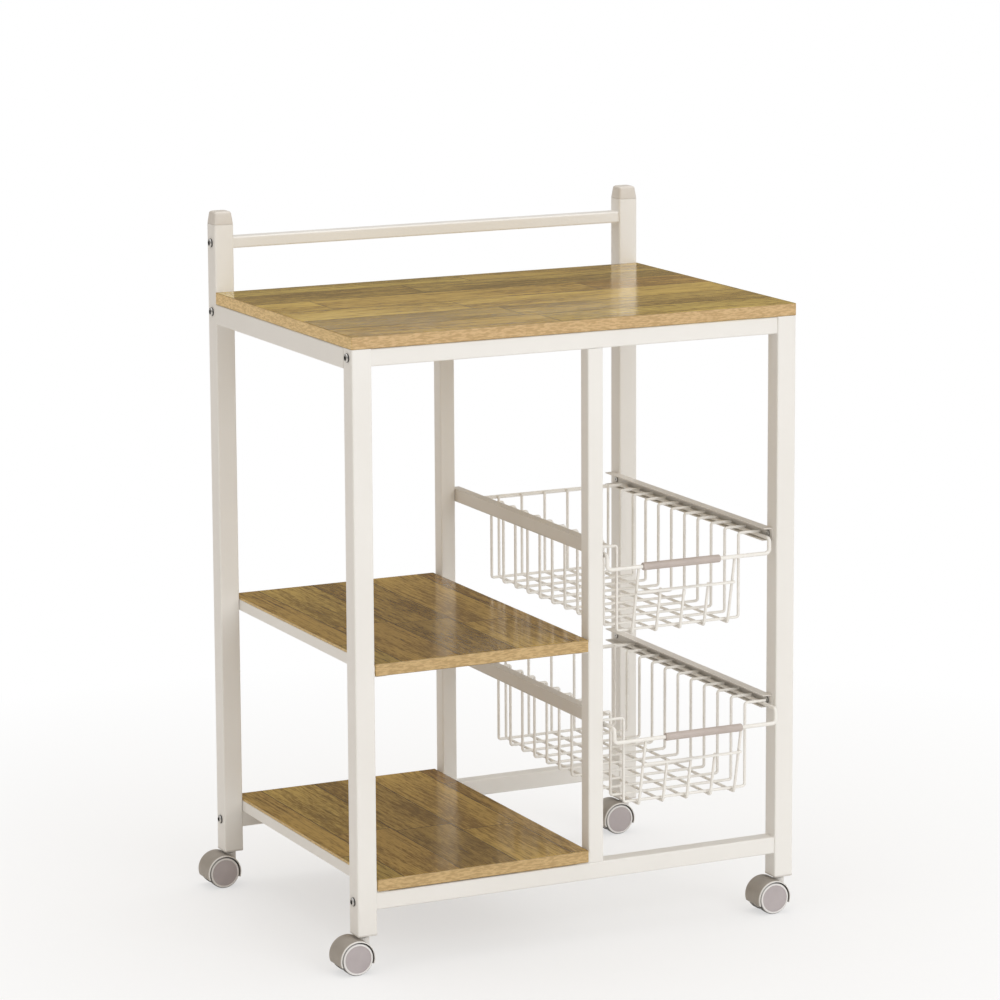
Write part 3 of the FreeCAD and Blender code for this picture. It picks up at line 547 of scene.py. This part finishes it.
for level in ("upper", "lower"):
    body = f"{level}_basket"
    rim_low, rim_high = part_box(f"{body}_rim")
    rib_low, rib_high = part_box(f"{body}_ribs")
    long_low, long_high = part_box(f"{body}_long_wires")
    front_low, front_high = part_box(f"{body}_front_wire")
    centre = (rim_low.x + rim_high.x) / 2
    half = (rim_high.x - rim_low.x) / 2 - RIM_RADIUS
    front = rim_low.y + RIM_RADIUS
    rear = rim_high.y - RIM_RADIUS
    top = rim_high.z - RIM_RADIUS
    bar = rim_low.z + RIM_RADIUS
    seam = WELD_GAP / 2
    rim_run = [(centre + seam, front, bar), (centre + half, front, bar), (centre + half, front, top),
               (centre + half, rear, top), (centre - half, rear, top), (centre - half, front, top),
               (centre - half, front, bar), (centre - seam, front, bar)]
    new_piece(f"{body}_rim_wire", bend_wire([rim_run], RIM_RADIUS, RIM_BEND), body, "basket_coat",
              f"{body}_rim")

    tab_end = (rib_high.x - rib_low.x) / 2
    tab = rib_high.z - WIRE_RADIUS
    floor = rib_low.z + WIRE_RADIUS
    side = half - RIB_TAB
    first = rib_low.y + WIRE_RADIUS
    pitch = (rib_high.y - WIRE_RADIUS - first) / (RIB_COUNT - 1)
    rib_run = [(centre + x, first, z) for x, z in (
        (-tab_end, tab), (-side, tab), (-side, floor), (side, floor), (side, tab), (tab_end, tab))]
    ribs = bend_wire([rib_run], WIRE_RADIUS, WIRE_BEND, RIB_COUNT, (0, pitch, 0))
    new_piece(f"{body}_rib_wires", ribs, body, "basket_coat", f"{body}_ribs")

    keel = long_low.z + WIRE_RADIUS
    back = long_high.y - WIRE_RADIUS
    outer = (long_high.x - long_low.x) / 2 - WIRE_RADIUS
    lean = math.atan2(FRONT_LEAN, bar - keel)
    handle_back = front + (RIM_RADIUS + WIRE_RADIUS + WELD_GAP) / math.cos(lean)
    cross = (front_low.z + front_high.z) / 2
    lanes = [centre - outer + 2 * outer * index / (LONG_COUNT - 1) for index in range(LONG_COUNT)]

    def wall(height):
        """How far back the leaning front stands at a height."""
        return handle_back + (bar - height) * math.tan(lean)

    long_runs = []
    for index, x in enumerate(lanes):
        start = bar if index in (0, LONG_COUNT - 1) else cross + WIRE_RADIUS
        long_runs.append([(x, wall(start), start), (x, wall(keel), keel), (x, back, keel),
                          (x, back, long_high.z)])
    new_piece(f"{body}_keel_wires", bend_wire(long_runs, WIRE_RADIUS, WIRE_BEND), body, "basket_coat",
              f"{body}_long_wires")
    front_y = (front_low.y + front_high.y) / 2
    front_run = [(x, front_y, cross) for x in (front_low.x, centre, front_high.x)]
    new_piece(f"{body}_cross_wire", bend_wire([front_run], WIRE_RADIUS, WIRE_BEND), body, "basket_coat",
              f"{body}_front_wire")

    rows = [first + index * pitch for index in range(RIB_COUNT)]
    crossings = [(x, y, floor - WIRE_RADIUS) for x in lanes for y in rows]
    crossings += [(centre + edge * half, y, tab - WIRE_RADIUS) for edge in (-1, 1) for y in rows]
    crossings += [(x, (wall(cross) + front_y) / 2, cross) for x in lanes]
    crossings += [(x, (wall(bar) + front) / 2 + HANDLE_WELD_BACK, bar) for x in (lanes[0], lanes[-1])]
    crossings += [(x, back + WIRE_RADIUS, top) for x in lanes]
    new_piece(f"{body}_spot_welds", run_tree(nugget_tree, crossings, [], NUGGET), body, "basket_coat")


# Handle grips
# A grey plastic sleeve pushed tightly over each handle bar before the rim wire is closed.
# Extruded, with a faint grain, and cut off with softened ends.

GRIP_GREY = ((0.56, 0.49, 0.455), (0.50, 0.435, 0.40))
grip_plastic = moulded_plastic("grip sleeve plastic", *GRIP_GREY, gloss=0.44)
GRIP_FACETS = 32
GRIP_PLAY = 0.0001
GRIP_SOFT_END = 0.0013


def turned(profile, segments, axis, at, material):
    """A closed mesh turned from pairs of distance and radius about an axis through a point."""
    shape = bmesh.new()
    across = {"x": (Vector((1, 0, 0)), Vector((0, 1, 0)), Vector((0, 0, 1))),
              "y": (Vector((0, 1, 0)), Vector((0, 0, 1)), Vector((1, 0, 0))),
              "z": (Vector((0, 0, 1)), Vector((1, 0, 0)), Vector((0, 1, 0)))}[axis]
    rings = []
    for distance, radius in profile:
        middle = Vector(at) + across[0] * distance
        if radius == 0:
            rings.append([shape.verts.new(middle)])
            continue
        turns = [2 * math.pi * index / segments for index in range(segments)]
        spokes = [across[1] * math.cos(turn) + across[2] * math.sin(turn) for turn in turns]
        rings.append([shape.verts.new(middle + spoke * radius) for spoke in spokes])
    for one, two in zip(rings, rings[1:] + rings[:1] if len(rings[0]) > 1 else rings[1:]):
        for index in range(segments):
            following = (index + 1) % segments
            corners = list(dict.fromkeys([one[index % len(one)], one[following % len(one)],
                                          two[following % len(two)], two[index % len(two)]]))
            if len(corners) > 2:
                shape.faces.new(corners)
    bmesh.ops.recalc_face_normals(shape, faces=shape.faces)
    for face in shape.faces:
        face.smooth = True
    mesh = bpy.data.meshes.new("turned")
    shape.to_mesh(mesh)
    shape.free()
    mesh.materials.append(material)
    mesh.set_sharp_from_angle(angle=math.radians(42))
    return mesh


for level in ("upper", "lower"):
    low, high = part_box(f"{level}_basket_grip")
    middle = (low + high) / 2
    outer = (high.z - low.z) / 2
    end = (high.x - low.x) / 2
    soft_end = quarter((-end, outer - GRIP_SOFT_END), (-end + GRIP_SOFT_END, outer))
    outline = [(-end, RIM_RADIUS + GRIP_PLAY), *soft_end]
    outline += [(-along, radius) for along, radius in reversed(outline)]
    sleeve = turned(outline, GRIP_FACETS, "x", middle, grip_plastic)
    new_piece(f"{level}_basket_grip_sleeve", sleeve, f"{level}_basket", "grip_plastic",
              f"{level}_basket_grip")


# Casters
# Twin-wheel furniture casters: a moulded grey hood over two wheels, an axle pin through its web, and a
# steel stem with a collar that turns in the post's socket. The wheels have a raised rim round a disc.

ZINC_GREY = ((0.66, 0.65, 0.63), (0.55, 0.54, 0.52))
zinc = coated_metal("bright zinc", *ZINC_GREY, peel=0.00004, gloss=0.30)
zinc.node_tree.nodes["Principled BSDF"].inputs["Metallic"].default_value = 1.0

HOOD_GREY = ((0.415, 0.378, 0.335), (0.345, 0.312, 0.275))
# pale colour for the painted highlight on the hood's lips, and the bearing boss's own paler plastic
LIP_HIGHLIGHT_AND_BOSS_WHITE = (0.78, 0.765, 0.74, 1)
DISC_GREY = ((0.50, 0.455, 0.462), (0.445, 0.40, 0.41))
RIM_HIGHLIGHT_WHITE = (0.81, 0.795, 0.785, 1)
TREAD_BLACK = (0.055, 0.052, 0.050, 1)
HOOD_WALL = 0.0015
HOOD_SKIRT = math.radians(20)
HOOD_ROUND = 0.003
HOOD_LIP = 0.001
HOOD_FACETS = 40
LIP_HIGHLIGHT_BAND = (0.0020, 0.0014)
WEB_HALF = 0.005
HUB_RADIUS = 0.007
BOSS_RADIUS = 0.0065
BOSS_ROUND = 0.001
BOSS_BELOW_AXLE = 0.002
PALE_BOSS_RADIUS = BOSS_RADIUS + 0.0003
PALE_BOSS_ABOVE_AXLE = 0.008
COLLAR_HEIGHT = 0.003
COLLAR_ROUND = 0.0006
STEM_RADIUS = 0.004
STEM_FACETS = 32
STEM_POINT = 0.0008
STEEL_EDGE = 0.0004
AXLE_RADIUS = 0.0025
AXLE_FACETS = 24
AXLE_PLAY = 0.00005
AXLE_END_PLAY = 0.0003
WHEEL_FACETS = 56
DISC_CROWN = 0.0003
DISC_DISH = 0.0009
DISC_EDGE = 0.0158
RIM_START = 0.0164
RIM_INNER_ROUND = 0.0008
RIM_OUTER_ROUND = (0.0011, 0.0012)
RIM_STOP = 0.0190
TREAD_STEP = 0.0013
TREAD_SHOULDER = 0.0034
INNER_SHOULDER = 0.002
POCKET_DEPTH = 0.0012
POCKET_OUTER = (0.0165, 0.0155)
POCKET_INNER = (0.0062, 0.0055)


def wheel_finish(name, axle):
    """Grey nylon disc with a painted highlight on the raised rim, and a dark, scuffed tread."""
    material = moulded_plastic(name, *DISC_GREY, gloss=0.40)
    sockets = material.node_tree.nodes["Principled BSDF"].inputs
    link = Link(material.node_tree)
    plain = Link(material.node_tree, sockets["Base Color"].links[0].from_socket)
    x, y, z = link.axes(link.place())
    dx = x - axle.x
    dz = z - axle.z
    radius = link.maths("SQRT", dx * dx + dz * dz)
    # painted highlight: the raised rim ring is painted near-white
    rim = link.spread(radius, RIM_START - 0.0001, RIM_START + 0.0004)
    tread = link.spread(radius, RIM_STOP - 0.0003, RIM_STOP + 0.0002)
    rubbing = link.noise(link.vector(x * 90.0, y * 700.0, z * 90.0), 1.0, 4.0)
    scuffs = link.spread(rubbing, 0.4, 0.65)
    disc = link.mix(rim, plain, RIM_HIGHLIGHT_WHITE)
    feed(sockets["Base Color"], link.mix(tread * (0.8 + scuffs * 0.2), disc, TREAD_BLACK))
    return material


def hood_finish(name, axle, stem, half_width):
    """Grey-brown plastic, with a painted highlight on the lips at both ends and a paler bearing boss.
    """
    material = moulded_plastic(name, *HOOD_GREY, gloss=0.40)
    sockets = material.node_tree.nodes["Principled BSDF"].inputs
    link = Link(material.node_tree)
    plain = Link(material.node_tree, sockets["Base Color"].links[0].from_socket)
    x, y, z = link.axes(link.place())
    from_middle = link.maths("ABSOLUTE", y - axle.y)
    # painted highlight: a pale band at both ends of the hood stands for the bright edge of its lips
    lip = link.spread(from_middle, *(half_width - inset for inset in LIP_HIGHLIGHT_BAND))
    dx = x - stem.x
    dy = y - stem.y
    from_stem = link.maths("SQRT", dx * dx + dy * dy)
    boss = (from_stem < PALE_BOSS_RADIUS) * (z > axle.z + PALE_BOSS_ABOVE_AXLE)
    feed(sockets["Base Color"], link.mix(link.maths("MAXIMUM", lip, boss), plain, LIP_HIGHLIGHT_AND_BOSS_WHITE))
    return material


def joined(meshes, material):
    """The union of closed meshes as one closed mesh with smooth faces."""
    carriers = []
    for mesh in meshes:
        carrier = bpy.data.objects.new("union", mesh)
        bpy.context.scene.collection.objects.link(carrier)
        carriers.append(carrier)
    for other in carriers[1:]:
        union = carriers[0].modifiers.new("union", "BOOLEAN")
        union.operation = "UNION"
        union.solver = "EXACT"
        union.object = other
    whole = carriers[0].evaluated_get(bpy.context.evaluated_depsgraph_get())
    mesh = bpy.data.meshes.new_from_object(whole)
    for carrier in carriers:
        bpy.data.objects.remove(carrier)
    mesh.materials.clear()
    mesh.materials.append(material)
    mesh.polygons.foreach_set("use_smooth", [True] * len(mesh.polygons))
    mesh.set_sharp_from_angle(angle=math.radians(38))
    return mesh


def hood_mesh(axle, stem, low, high, plastic):
    """A shell swept over the wheels, the web between them, a hub round the axle and the stem's boss."""
    half_width = (high.y - low.y) / 2
    outer = axle.x - low.x
    inner = outer - HOOD_WALL
    sweep = math.pi + 2 * HOOD_SKIRT
    turns = [-HOOD_SKIRT + sweep * step / HOOD_FACETS for step in range(HOOD_FACETS + 1)]
    spokes = [Vector((math.cos(turn), 0, math.sin(turn))) for turn in turns]

    def round_axle(y, radius, spoke):
        return axle + Vector((0, y, 0)) + spoke * radius

    soft_edge = quarter((-half_width, outer - HOOD_LIP), (-half_width + HOOD_ROUND, outer))
    lip = [(-half_width, inner), *soft_edge]
    section = lip + [(-y, radius) for y, radius in reversed(lip)]
    shell_rings = [[round_axle(y, radius, spoke) for y, radius in section] for spoke in spokes]
    shell = stacked(shell_rings, plastic)
    web_radius = inner + HOOD_WALL / 2
    web_faces = [[round_axle(y, web_radius, spoke) for spoke in spokes] for y in (-WEB_HALF, WEB_HALF)]
    web = stacked(web_faces, plastic)
    hub_outline = [(-WEB_HALF, 0), (-WEB_HALF, HUB_RADIUS), (WEB_HALF, HUB_RADIUS), (WEB_HALF, 0)]
    hub = turned(hub_outline, HOOD_FACETS, "y", axle, plastic)
    boss_foot = axle.z - BOSS_BELOW_AXLE
    boss_edge = quarter((high.z, BOSS_RADIUS - BOSS_ROUND), (high.z - BOSS_ROUND, BOSS_RADIUS))
    boss_outline = [(boss_foot, 0), (boss_foot, BOSS_RADIUS), *reversed(boss_edge), (high.z, 0)]
    boss = turned(boss_outline, HOOD_FACETS, "z", (stem.x, stem.y, 0), plastic)
    return joined([shell, web, hub, boss], plastic)


def stem_mesh(stem, foot, seat, top):
    """A steel stem from its foot in the boss to its top in the socket, with a collar on the boss."""
    collar_top = seat + COLLAR_HEIGHT
    foot_edge = quarter((foot, STEM_RADIUS - STEEL_EDGE), (foot + STEEL_EDGE, STEM_RADIUS), 2)
    lower_edge = quarter((seat, BOSS_RADIUS - STEEL_EDGE), (seat + STEEL_EDGE, BOSS_RADIUS), 3)
    upper_edge = quarter((collar_top, BOSS_RADIUS - COLLAR_ROUND),
                         (collar_top - COLLAR_ROUND, BOSS_RADIUS), 3)
    tip = [(top - STEM_POINT, STEM_RADIUS), (top, STEM_RADIUS - STEM_POINT), (top, 0)]
    outline = [(foot, 0), *foot_edge, (seat, STEM_RADIUS), *lower_edge, *reversed(upper_edge),
               (collar_top, STEM_RADIUS), *tip]
    return turned(outline, STEM_FACETS, "z", (stem.x, stem.y, 0), zinc)


def pin_mesh(axle, half):
    """A plain axle pin with chamfered ends."""
    end = [(-half, 0), (-half, AXLE_RADIUS - STEEL_EDGE), (-half + STEEL_EDGE, AXLE_RADIUS)]
    outline = end + [(-along, radius) for along, radius in reversed(end)]
    return turned(outline, AXLE_FACETS, "y", axle, zinc)


def wheel_mesh(axle, low, high, way, bore_end, nylon):
    """One wheel: a dished disc, a raised rim, a tread with soft shoulders, and a blind bore inside."""
    near, far = sorted((abs(low.y - axle.y), abs(high.y - axle.y)))
    radius = (high.z - low.z) / 2
    bore = AXLE_RADIUS + AXLE_PLAY
    pocket = near + POCKET_DEPTH
    drop, width = RIM_OUTER_ROUND
    disc = [(far - DISC_CROWN, 0), (far - DISC_DISH, DISC_EDGE)]
    rim = [*reversed(quarter((far, RIM_START + RIM_INNER_ROUND), (far - DISC_DISH, RIM_START), 3)),
           *quarter((far, RIM_STOP - width), (far - drop, RIM_STOP), 3)]
    tread = [*quarter((far - TREAD_STEP, RIM_STOP), (far - TREAD_SHOULDER, radius)),
             *reversed(quarter((near, radius - INNER_SHOULDER), (near + INNER_SHOULDER, radius)))]
    inside = [*zip((near, pocket), POCKET_OUTER), *zip((pocket, near), POCKET_INNER),
              (near, bore), (bore_end, bore), (bore_end, 0)]
    outline = [(way * along, reach) for along, reach in disc + rim + tread + inside]
    return turned(outline, WHEEL_FACETS, "y", axle, nylon)


for side in ("left", "right"):
    for end in ("front", "rear"):
        caster = f"{side}_{end}_caster"
        hood_low, hood_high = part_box(f"{caster}_hood")
        stem_low, stem_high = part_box(f"{caster}_stem")
        axle_low, axle_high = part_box(f"{caster}_axle")
        stem = (stem_low + stem_high) / 2
        axle = (axle_low + axle_high) / 2
        axle_half = (axle_high.y - axle_low.y) / 2
        hood_plastic = hood_finish(f"{caster} hood plastic", axle, stem, hood_high.y - axle.y)
        hood = hood_mesh(axle, stem, hood_low, hood_high, hood_plastic)
        new_piece(f"{caster}_moulded_hood", hood, caster, "hood_plastic", f"{caster}_hood")
        steel_stem = stem_mesh(stem, stem_low.z, hood_high.z, stem_high.z)
        new_piece(f"{caster}_swivel_stem", steel_stem, caster, "fastener_steel", f"{caster}_stem")
        pin = pin_mesh(axle, axle_half)
        new_piece(f"{caster}_axle_pin", pin, caster, "fastener_steel", f"{caster}_axle")
        nylon = wheel_finish(f"{caster} wheel nylon", axle)
        for face, way in (("front", -1), ("rear", 1)):
            wheel = f"{caster}_{face}_wheel"
            tyre = wheel_mesh(axle, *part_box(wheel), way, axle_half + AXLE_END_PLAY, nylon)
            new_piece(f"{wheel}_tyre", tyre, wheel, "wheel_plastic", wheel)


# Bolts and screws
# Button-head bolts with a hex socket through the posts into the rail plugs, and pan-head screws that
# hold the runners, boards and mid posts. Bright zinc, with painted shade in the sockets and a painted
# shadow line round the heads' edges.

BOLT = {"head_radius": 0.0055, "head_height": 0.003, "shank_radius": 0.003, "length": 0.043,
        "recess_depth": 0.002}
PAN_SCREW = {"head_radius": 0.004, "head_height": 0.0016, "shank_radius": 0.002, "length": 0.0102,
             "recess_depth": 0.0009}
HEAD_EDGE = 0.0004
HEAD_STEPS = 5
HEAD_RELIEF = 0.0002
HEAD_FLAT = 0.0006
RECESS_LIP = 0.0001
RECESS_BEVEL = 0.00015
SHANK_POINT = 0.0006
SHANK_TAPER = 0.75
HEX_SOCKET = 0.0026
SLOT_REACH = 0.0019
SLOT_FLANK = 0.0008
SLOT_WAIST = 0.0007
RUNNER_SEAT = 0.0012
RUNNER_SCREW_INSET = 0.019

socket_zinc, sockets, link = new_finish("zinc with painted shade")
where = link.place()
unshaded_zinc = link.mix(link.noise(where, 900.0, 3.0), (0.62, 0.61, 0.59, 1), (0.74, 0.73, 0.71, 1))
# painted shade: a vertex attribute turns the zinc into a near-black non-metal in the sockets and in a
# ring round each head's edge, where shade falls
painted_shade = link.node("ShaderNodeAttribute", output="Fac", attribute_name="painted_shade")
feed(sockets["Base Color"], link.mix(painted_shade, unshaded_zinc, (0.012, 0.011, 0.010, 1)))
feed(sockets["Metallic"], 1 - painted_shade)
feed(sockets["Roughness"], link.spread(link.noise(where, 700.0, 3.0), 0.3, 0.7, 0.24, 0.38))


def headed(recess, head_radius, head_height, shank_radius, length, recess_depth):
    """A fastener along +X from the seat of its head: a domed head with a recess, and a plain shank."""
    shape = bmesh.new()
    painted_shade = shape.verts.layers.float.new("painted_shade")
    count = len(recess)
    turns = [2 * math.pi * index / count for index in range(count)]

    def ring(x, radii):
        return [shape.verts.new((x, math.cos(turn) * radius, math.sin(turn) * radius))
                for turn, radius in zip(turns, radii)]

    top = -head_height
    pit = top + recess_depth
    socket = [[shape.verts.new((pit, 0, 0))], ring(pit, recess), ring(top + RECESS_LIP, recess)]
    bevel = ring(top, [radius + RECESS_BEVEL for radius in recess])
    dome = quarter((top, max(recess) + HEAD_FLAT), (-HEAD_EDGE, head_radius), HEAD_STEPS)
    crown = [ring(x, [radius] * count) for x, radius in dome + [(0, head_radius - HEAD_RELIEF)]]
    shank = [ring(x, [radius] * count) for x, radius in (
        (0, shank_radius), (length - SHANK_POINT, shank_radius), (length, shank_radius * SHANK_TAPER))]
    rings = [*socket, bevel, *crown, *shank, [shape.verts.new((length, 0, 0))]]
    for one, two in zip(rings, rings[1:]):
        for index in range(count):
            following = (index + 1) % count
            corners = list(dict.fromkeys([one[index % len(one)], one[following % len(one)],
                                          two[following % len(two)], two[index % len(two)]]))
            if len(corners) > 2:
                shape.faces.new(corners)
    # painted shade: the socket rings and the last rings of the head, where it meets the post, take the
    # full painted shade
    for shaded_ring in socket + crown[-3:]:
        for vert in shaded_ring:
            vert[painted_shade] = 1.0
    bmesh.ops.recalc_face_normals(shape, faces=shape.faces)
    for face in shape.faces:
        face.smooth = True
    mesh = bpy.data.meshes.new("headed fastener")
    shape.to_mesh(mesh)
    shape.free()
    mesh.materials.append(socket_zinc)
    mesh.set_sharp_from_angle(angle=math.radians(35))
    return mesh


fastener_tree, given = new_tree("fasteners", {
    "Fastener": "Object", "Turn": "Vector", "Material": "Material"})
source = given["Geometry"].node("GeometryNodeObjectInfo", {"Object": given["Fastener"]}, "Geometry")
turn = source.node("FunctionNodeEulerToRotation", {0: given["Turn"]})
fitted = source.node("GeometryNodeInstanceOnPoints", {
    "Points": given["Geometry"], "Instance": source, "Rotation": turn})
real = fitted.node("GeometryNodeRealizeInstances", {0: fitted})
painted = real.node("GeometryNodeSetMaterial", {0: real, "Material": given["Material"]})
painted.node("NodeGroupOutput", {0: painted})


def fit_fasteners(name, mesh, groups, replaced):
    """Set one fastener at every point, turned to point along the direction of its group."""
    pattern = bpy.data.objects.new("pattern", mesh)
    bpy.context.scene.collection.objects.link(pattern)
    turns = {"+x": (0, 0, 0), "-x": (0, 0, math.pi)}
    whole = bmesh.new()
    for way, points in groups.items():
        values = {"Fastener": pattern, "Turn": turns[way], "Material": socket_zinc}
        made = run_tree(fastener_tree, points, [], values)
        whole.from_mesh(made)
        bpy.data.meshes.remove(made)
    bpy.data.objects.remove(pattern)
    fitted_mesh = bpy.data.meshes.new(name)
    whole.to_mesh(fitted_mesh)
    whole.free()
    fitted_mesh.materials.append(socket_zinc)
    fitted_mesh.set_sharp_from_angle(angle=math.radians(35))
    new_piece(name, fitted_mesh, "frame", "fastener_steel", replaced)


SIXTH = math.pi / 3
RECESS_SPOKES = 24
spoke_turns = [2 * math.pi * index / RECESS_SPOKES for index in range(RECESS_SPOKES)]
hexagon = [HEX_SOCKET / math.cos((turn + SIXTH / 2) % SIXTH - SIXTH / 2) for turn in spoke_turns]
slot_arm = [SLOT_REACH, SLOT_FLANK, SLOT_FLANK, SLOT_WAIST, SLOT_FLANK, SLOT_FLANK]
cross_slot = slot_arm * (RECESS_SPOKES // len(slot_arm))
post_low, post_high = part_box("left_front_post")
rear_low, rear_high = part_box("left_rear_post")
right_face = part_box("right_front_post")[1].x
front_y = (post_low.y + post_high.y) / 2
rear_y = (rear_low.y + rear_high.y) / 2
BOLTED_RAILS = ("front_top_rail", "front_bottom_rail", "push_rail")
rail_boxes = [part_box(rail) for rail in BOLTED_RAILS]
top_height, bottom_height, push_height = ((low.z + high.z) / 2 for low, high in rail_boxes)
bolt_spots = [(y, z) for y in (front_y, rear_y) for z in (top_height, bottom_height)]
bolt_spots.append((rear_y, push_height))
fit_fasteners("frame_button_bolts", headed(hexagon, **BOLT), {
    "+x": [(post_low.x, y, z) for y, z in bolt_spots],
    "-x": [(right_face, y, z) for y, z in bolt_spots]}, "frame_bolts")

runner_spots = {"-x": [], "+x": []}
for level in ("upper", "lower"):
    for side, way in (("left", "-x"), ("right", "+x")):
        low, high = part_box(f"{level}_{side}_runner")
        x = low.x + RUNNER_SEAT if side == "left" else high.x - RUNNER_SEAT
        for y in (post_low.y + RUNNER_SCREW_INSET, rear_high.y - RUNNER_SCREW_INSET):
            runner_spots[way].append((x, y, (low.z + high.z) / 2))
fit_fasteners("runner_pan_screws", headed(cross_slot, **PAN_SCREW), runner_spots, "runner_screws")
for name in ("board_screws", "mid_post_screws"):
    dress(name, zinc)


# Floor, light and camera
# A white studio: a pale floor that keeps the cart's shadow, a broad key lamp from the front right, weak
# ones from the left and above, dark flags round it that keep glare off the boards, and a long lens.

FLOOR_HALF = 9
floor_corners = [(x * FLOOR_HALF, y * FLOOR_HALF, 0) for x, y in ((-1, -1), (1, -1), (1, 1), (-1, 1))]
floor_mesh = bpy.data.meshes.new("studio_floor")
floor_mesh.from_pydata(floor_corners, [], [(0, 1, 2, 3)])
studio_floor = bpy.data.objects.new("studio_floor", floor_mesh)
bpy.context.scene.collection.objects.link(studio_floor)
studio_floor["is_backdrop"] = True
floor_paint, sockets, link = new_finish("pale studio floor")
where = link.place()
cloud = link.noise(where, 1.3, 2.0)
feed(sockets["Base Color"], link.mix(cloud, (0.88, 0.88, 0.88, 1), (0.91, 0.91, 0.91, 1)))
sockets["Roughness"].default_value = 0.9
x, y, z = link.axes(where)
away = link.maths("SQRT", x * x + y * y)
in_view = link.node("ShaderNodeLightPath", output="Is Camera Ray")
fade = link.spread(away, 0.30, 1.3, 0.58, 1.0) * in_view
glow = link.node("ShaderNodeEmission", {"Color": (1.0, 1.0, 1.0, 1), "Strength": 1.0})
paint = Link(floor_paint.node_tree, floor_paint.node_tree.nodes["Principled BSDF"].outputs[0])
lit = link.node("ShaderNodeMixShader", {0: fade, 1: paint, 2: glow})
feed(floor_paint.node_tree.nodes["Material Output"].inputs["Surface"], lit)
floor_mesh.materials.append(floor_paint)

world = bpy.data.worlds.new("studio")
bpy.context.scene.world = world
world.use_nodes = True
sky = Link(world.node_tree)
ray = world.node_tree.nodes.new("ShaderNodeLightPath").outputs
ambient = sky.node("ShaderNodeBackground", {"Color": (1.0, 0.945, 0.88, 1), "Strength": 0.66})
dim = sky.node("ShaderNodeBackground", {"Color": (1.0, 0.99, 0.97, 1), "Strength": 0.14})
white = sky.node("ShaderNodeBackground", {"Color": (1.0, 1.0, 1.0, 1), "Strength": 1.0})
in_gloss, in_camera, in_glass = (Link(world.node_tree, ray[f"Is {kind} Ray"])
                                 for kind in ("Glossy", "Camera", "Transmission"))
height = sky.axes(sky.node("ShaderNodeTexCoord", output="Generated"))[2]
above_flags = sky.spread(height, 0.42, 0.65)
mirrored = sky.node("ShaderNodeMixShader", {0: above_flags, 1: dim, 2: white})
lighting = sky.node("ShaderNodeMixShader", {0: in_gloss, 1: ambient, 2: mirrored})
seen = sky.maths("MAXIMUM", in_camera, in_glass)
both = sky.node("ShaderNodeMixShader", {0: seen, 1: lighting, 2: white})
world.node_tree.links.new(both.socket, world.node_tree.nodes["World Output"].inputs["Surface"])

LAMPS = (
    ("key_lamp", (1.35, -5.4, 2.79), 3.6, 120.0, (0.93, 0.968, 1.0)),
    ("left_fill", (-3.2, -0.6, 1.7), 1.8, 4.0, (1.0, 0.88, 0.74)),
    ("top_fill", (0.2, 0.3, 3.4), 2.4, 24.0, (1.0, 0.99, 0.97)),
)
aim = Vector((0, 0, 0.42))
for name, spot, width, power, colour in LAMPS:
    lamp = bpy.data.lights.new(name, "AREA")
    lamp.size = width
    lamp.energy = power
    lamp.color = colour
    holder = bpy.data.objects.new(name, lamp)
    holder.location = spot
    holder.rotation_euler = (aim - Vector(spot)).to_track_quat("-Z", "Y").to_euler()
    bpy.context.scene.collection.objects.link(holder)

EYE_FROM_LEFT_FRONT_FOOT = Vector((-1.9179, -4.34683, 1.48563))
YAW, PITCH, ROLL = (math.radians(angle) for angle in (25.85, -9.86, -0.30))
ahead = Vector((math.sin(YAW) * math.cos(PITCH), math.cos(YAW) * math.cos(PITCH), math.sin(PITCH)))
level_right = Vector((math.cos(YAW), -math.sin(YAW), 0))
level_up = level_right.cross(ahead)
right = level_right * math.cos(ROLL) + level_up * math.sin(ROLL)
up = level_up * math.cos(ROLL) - level_right * math.sin(ROLL)
lens = bpy.data.cameras.new("photo_camera")
lens.sensor_width = 36.0
lens.lens = 151.24
lens.shift_y = -0.08
lens.clip_end = 60.0
camera = bpy.data.objects.new("photo_camera", lens)
foot = Vector((post_low.x, post_low.y, 0))
turned_to = Matrix((right, up, -ahead)).transposed().to_4x4()
camera.matrix_world = Matrix.Translation(foot + EYE_FROM_LEFT_FRONT_FOOT) @ turned_to
bpy.context.scene.collection.objects.link(camera)
bpy.context.scene.camera = camera
bpy.context.scene.view_settings.view_transform = "Standard"

low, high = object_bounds()
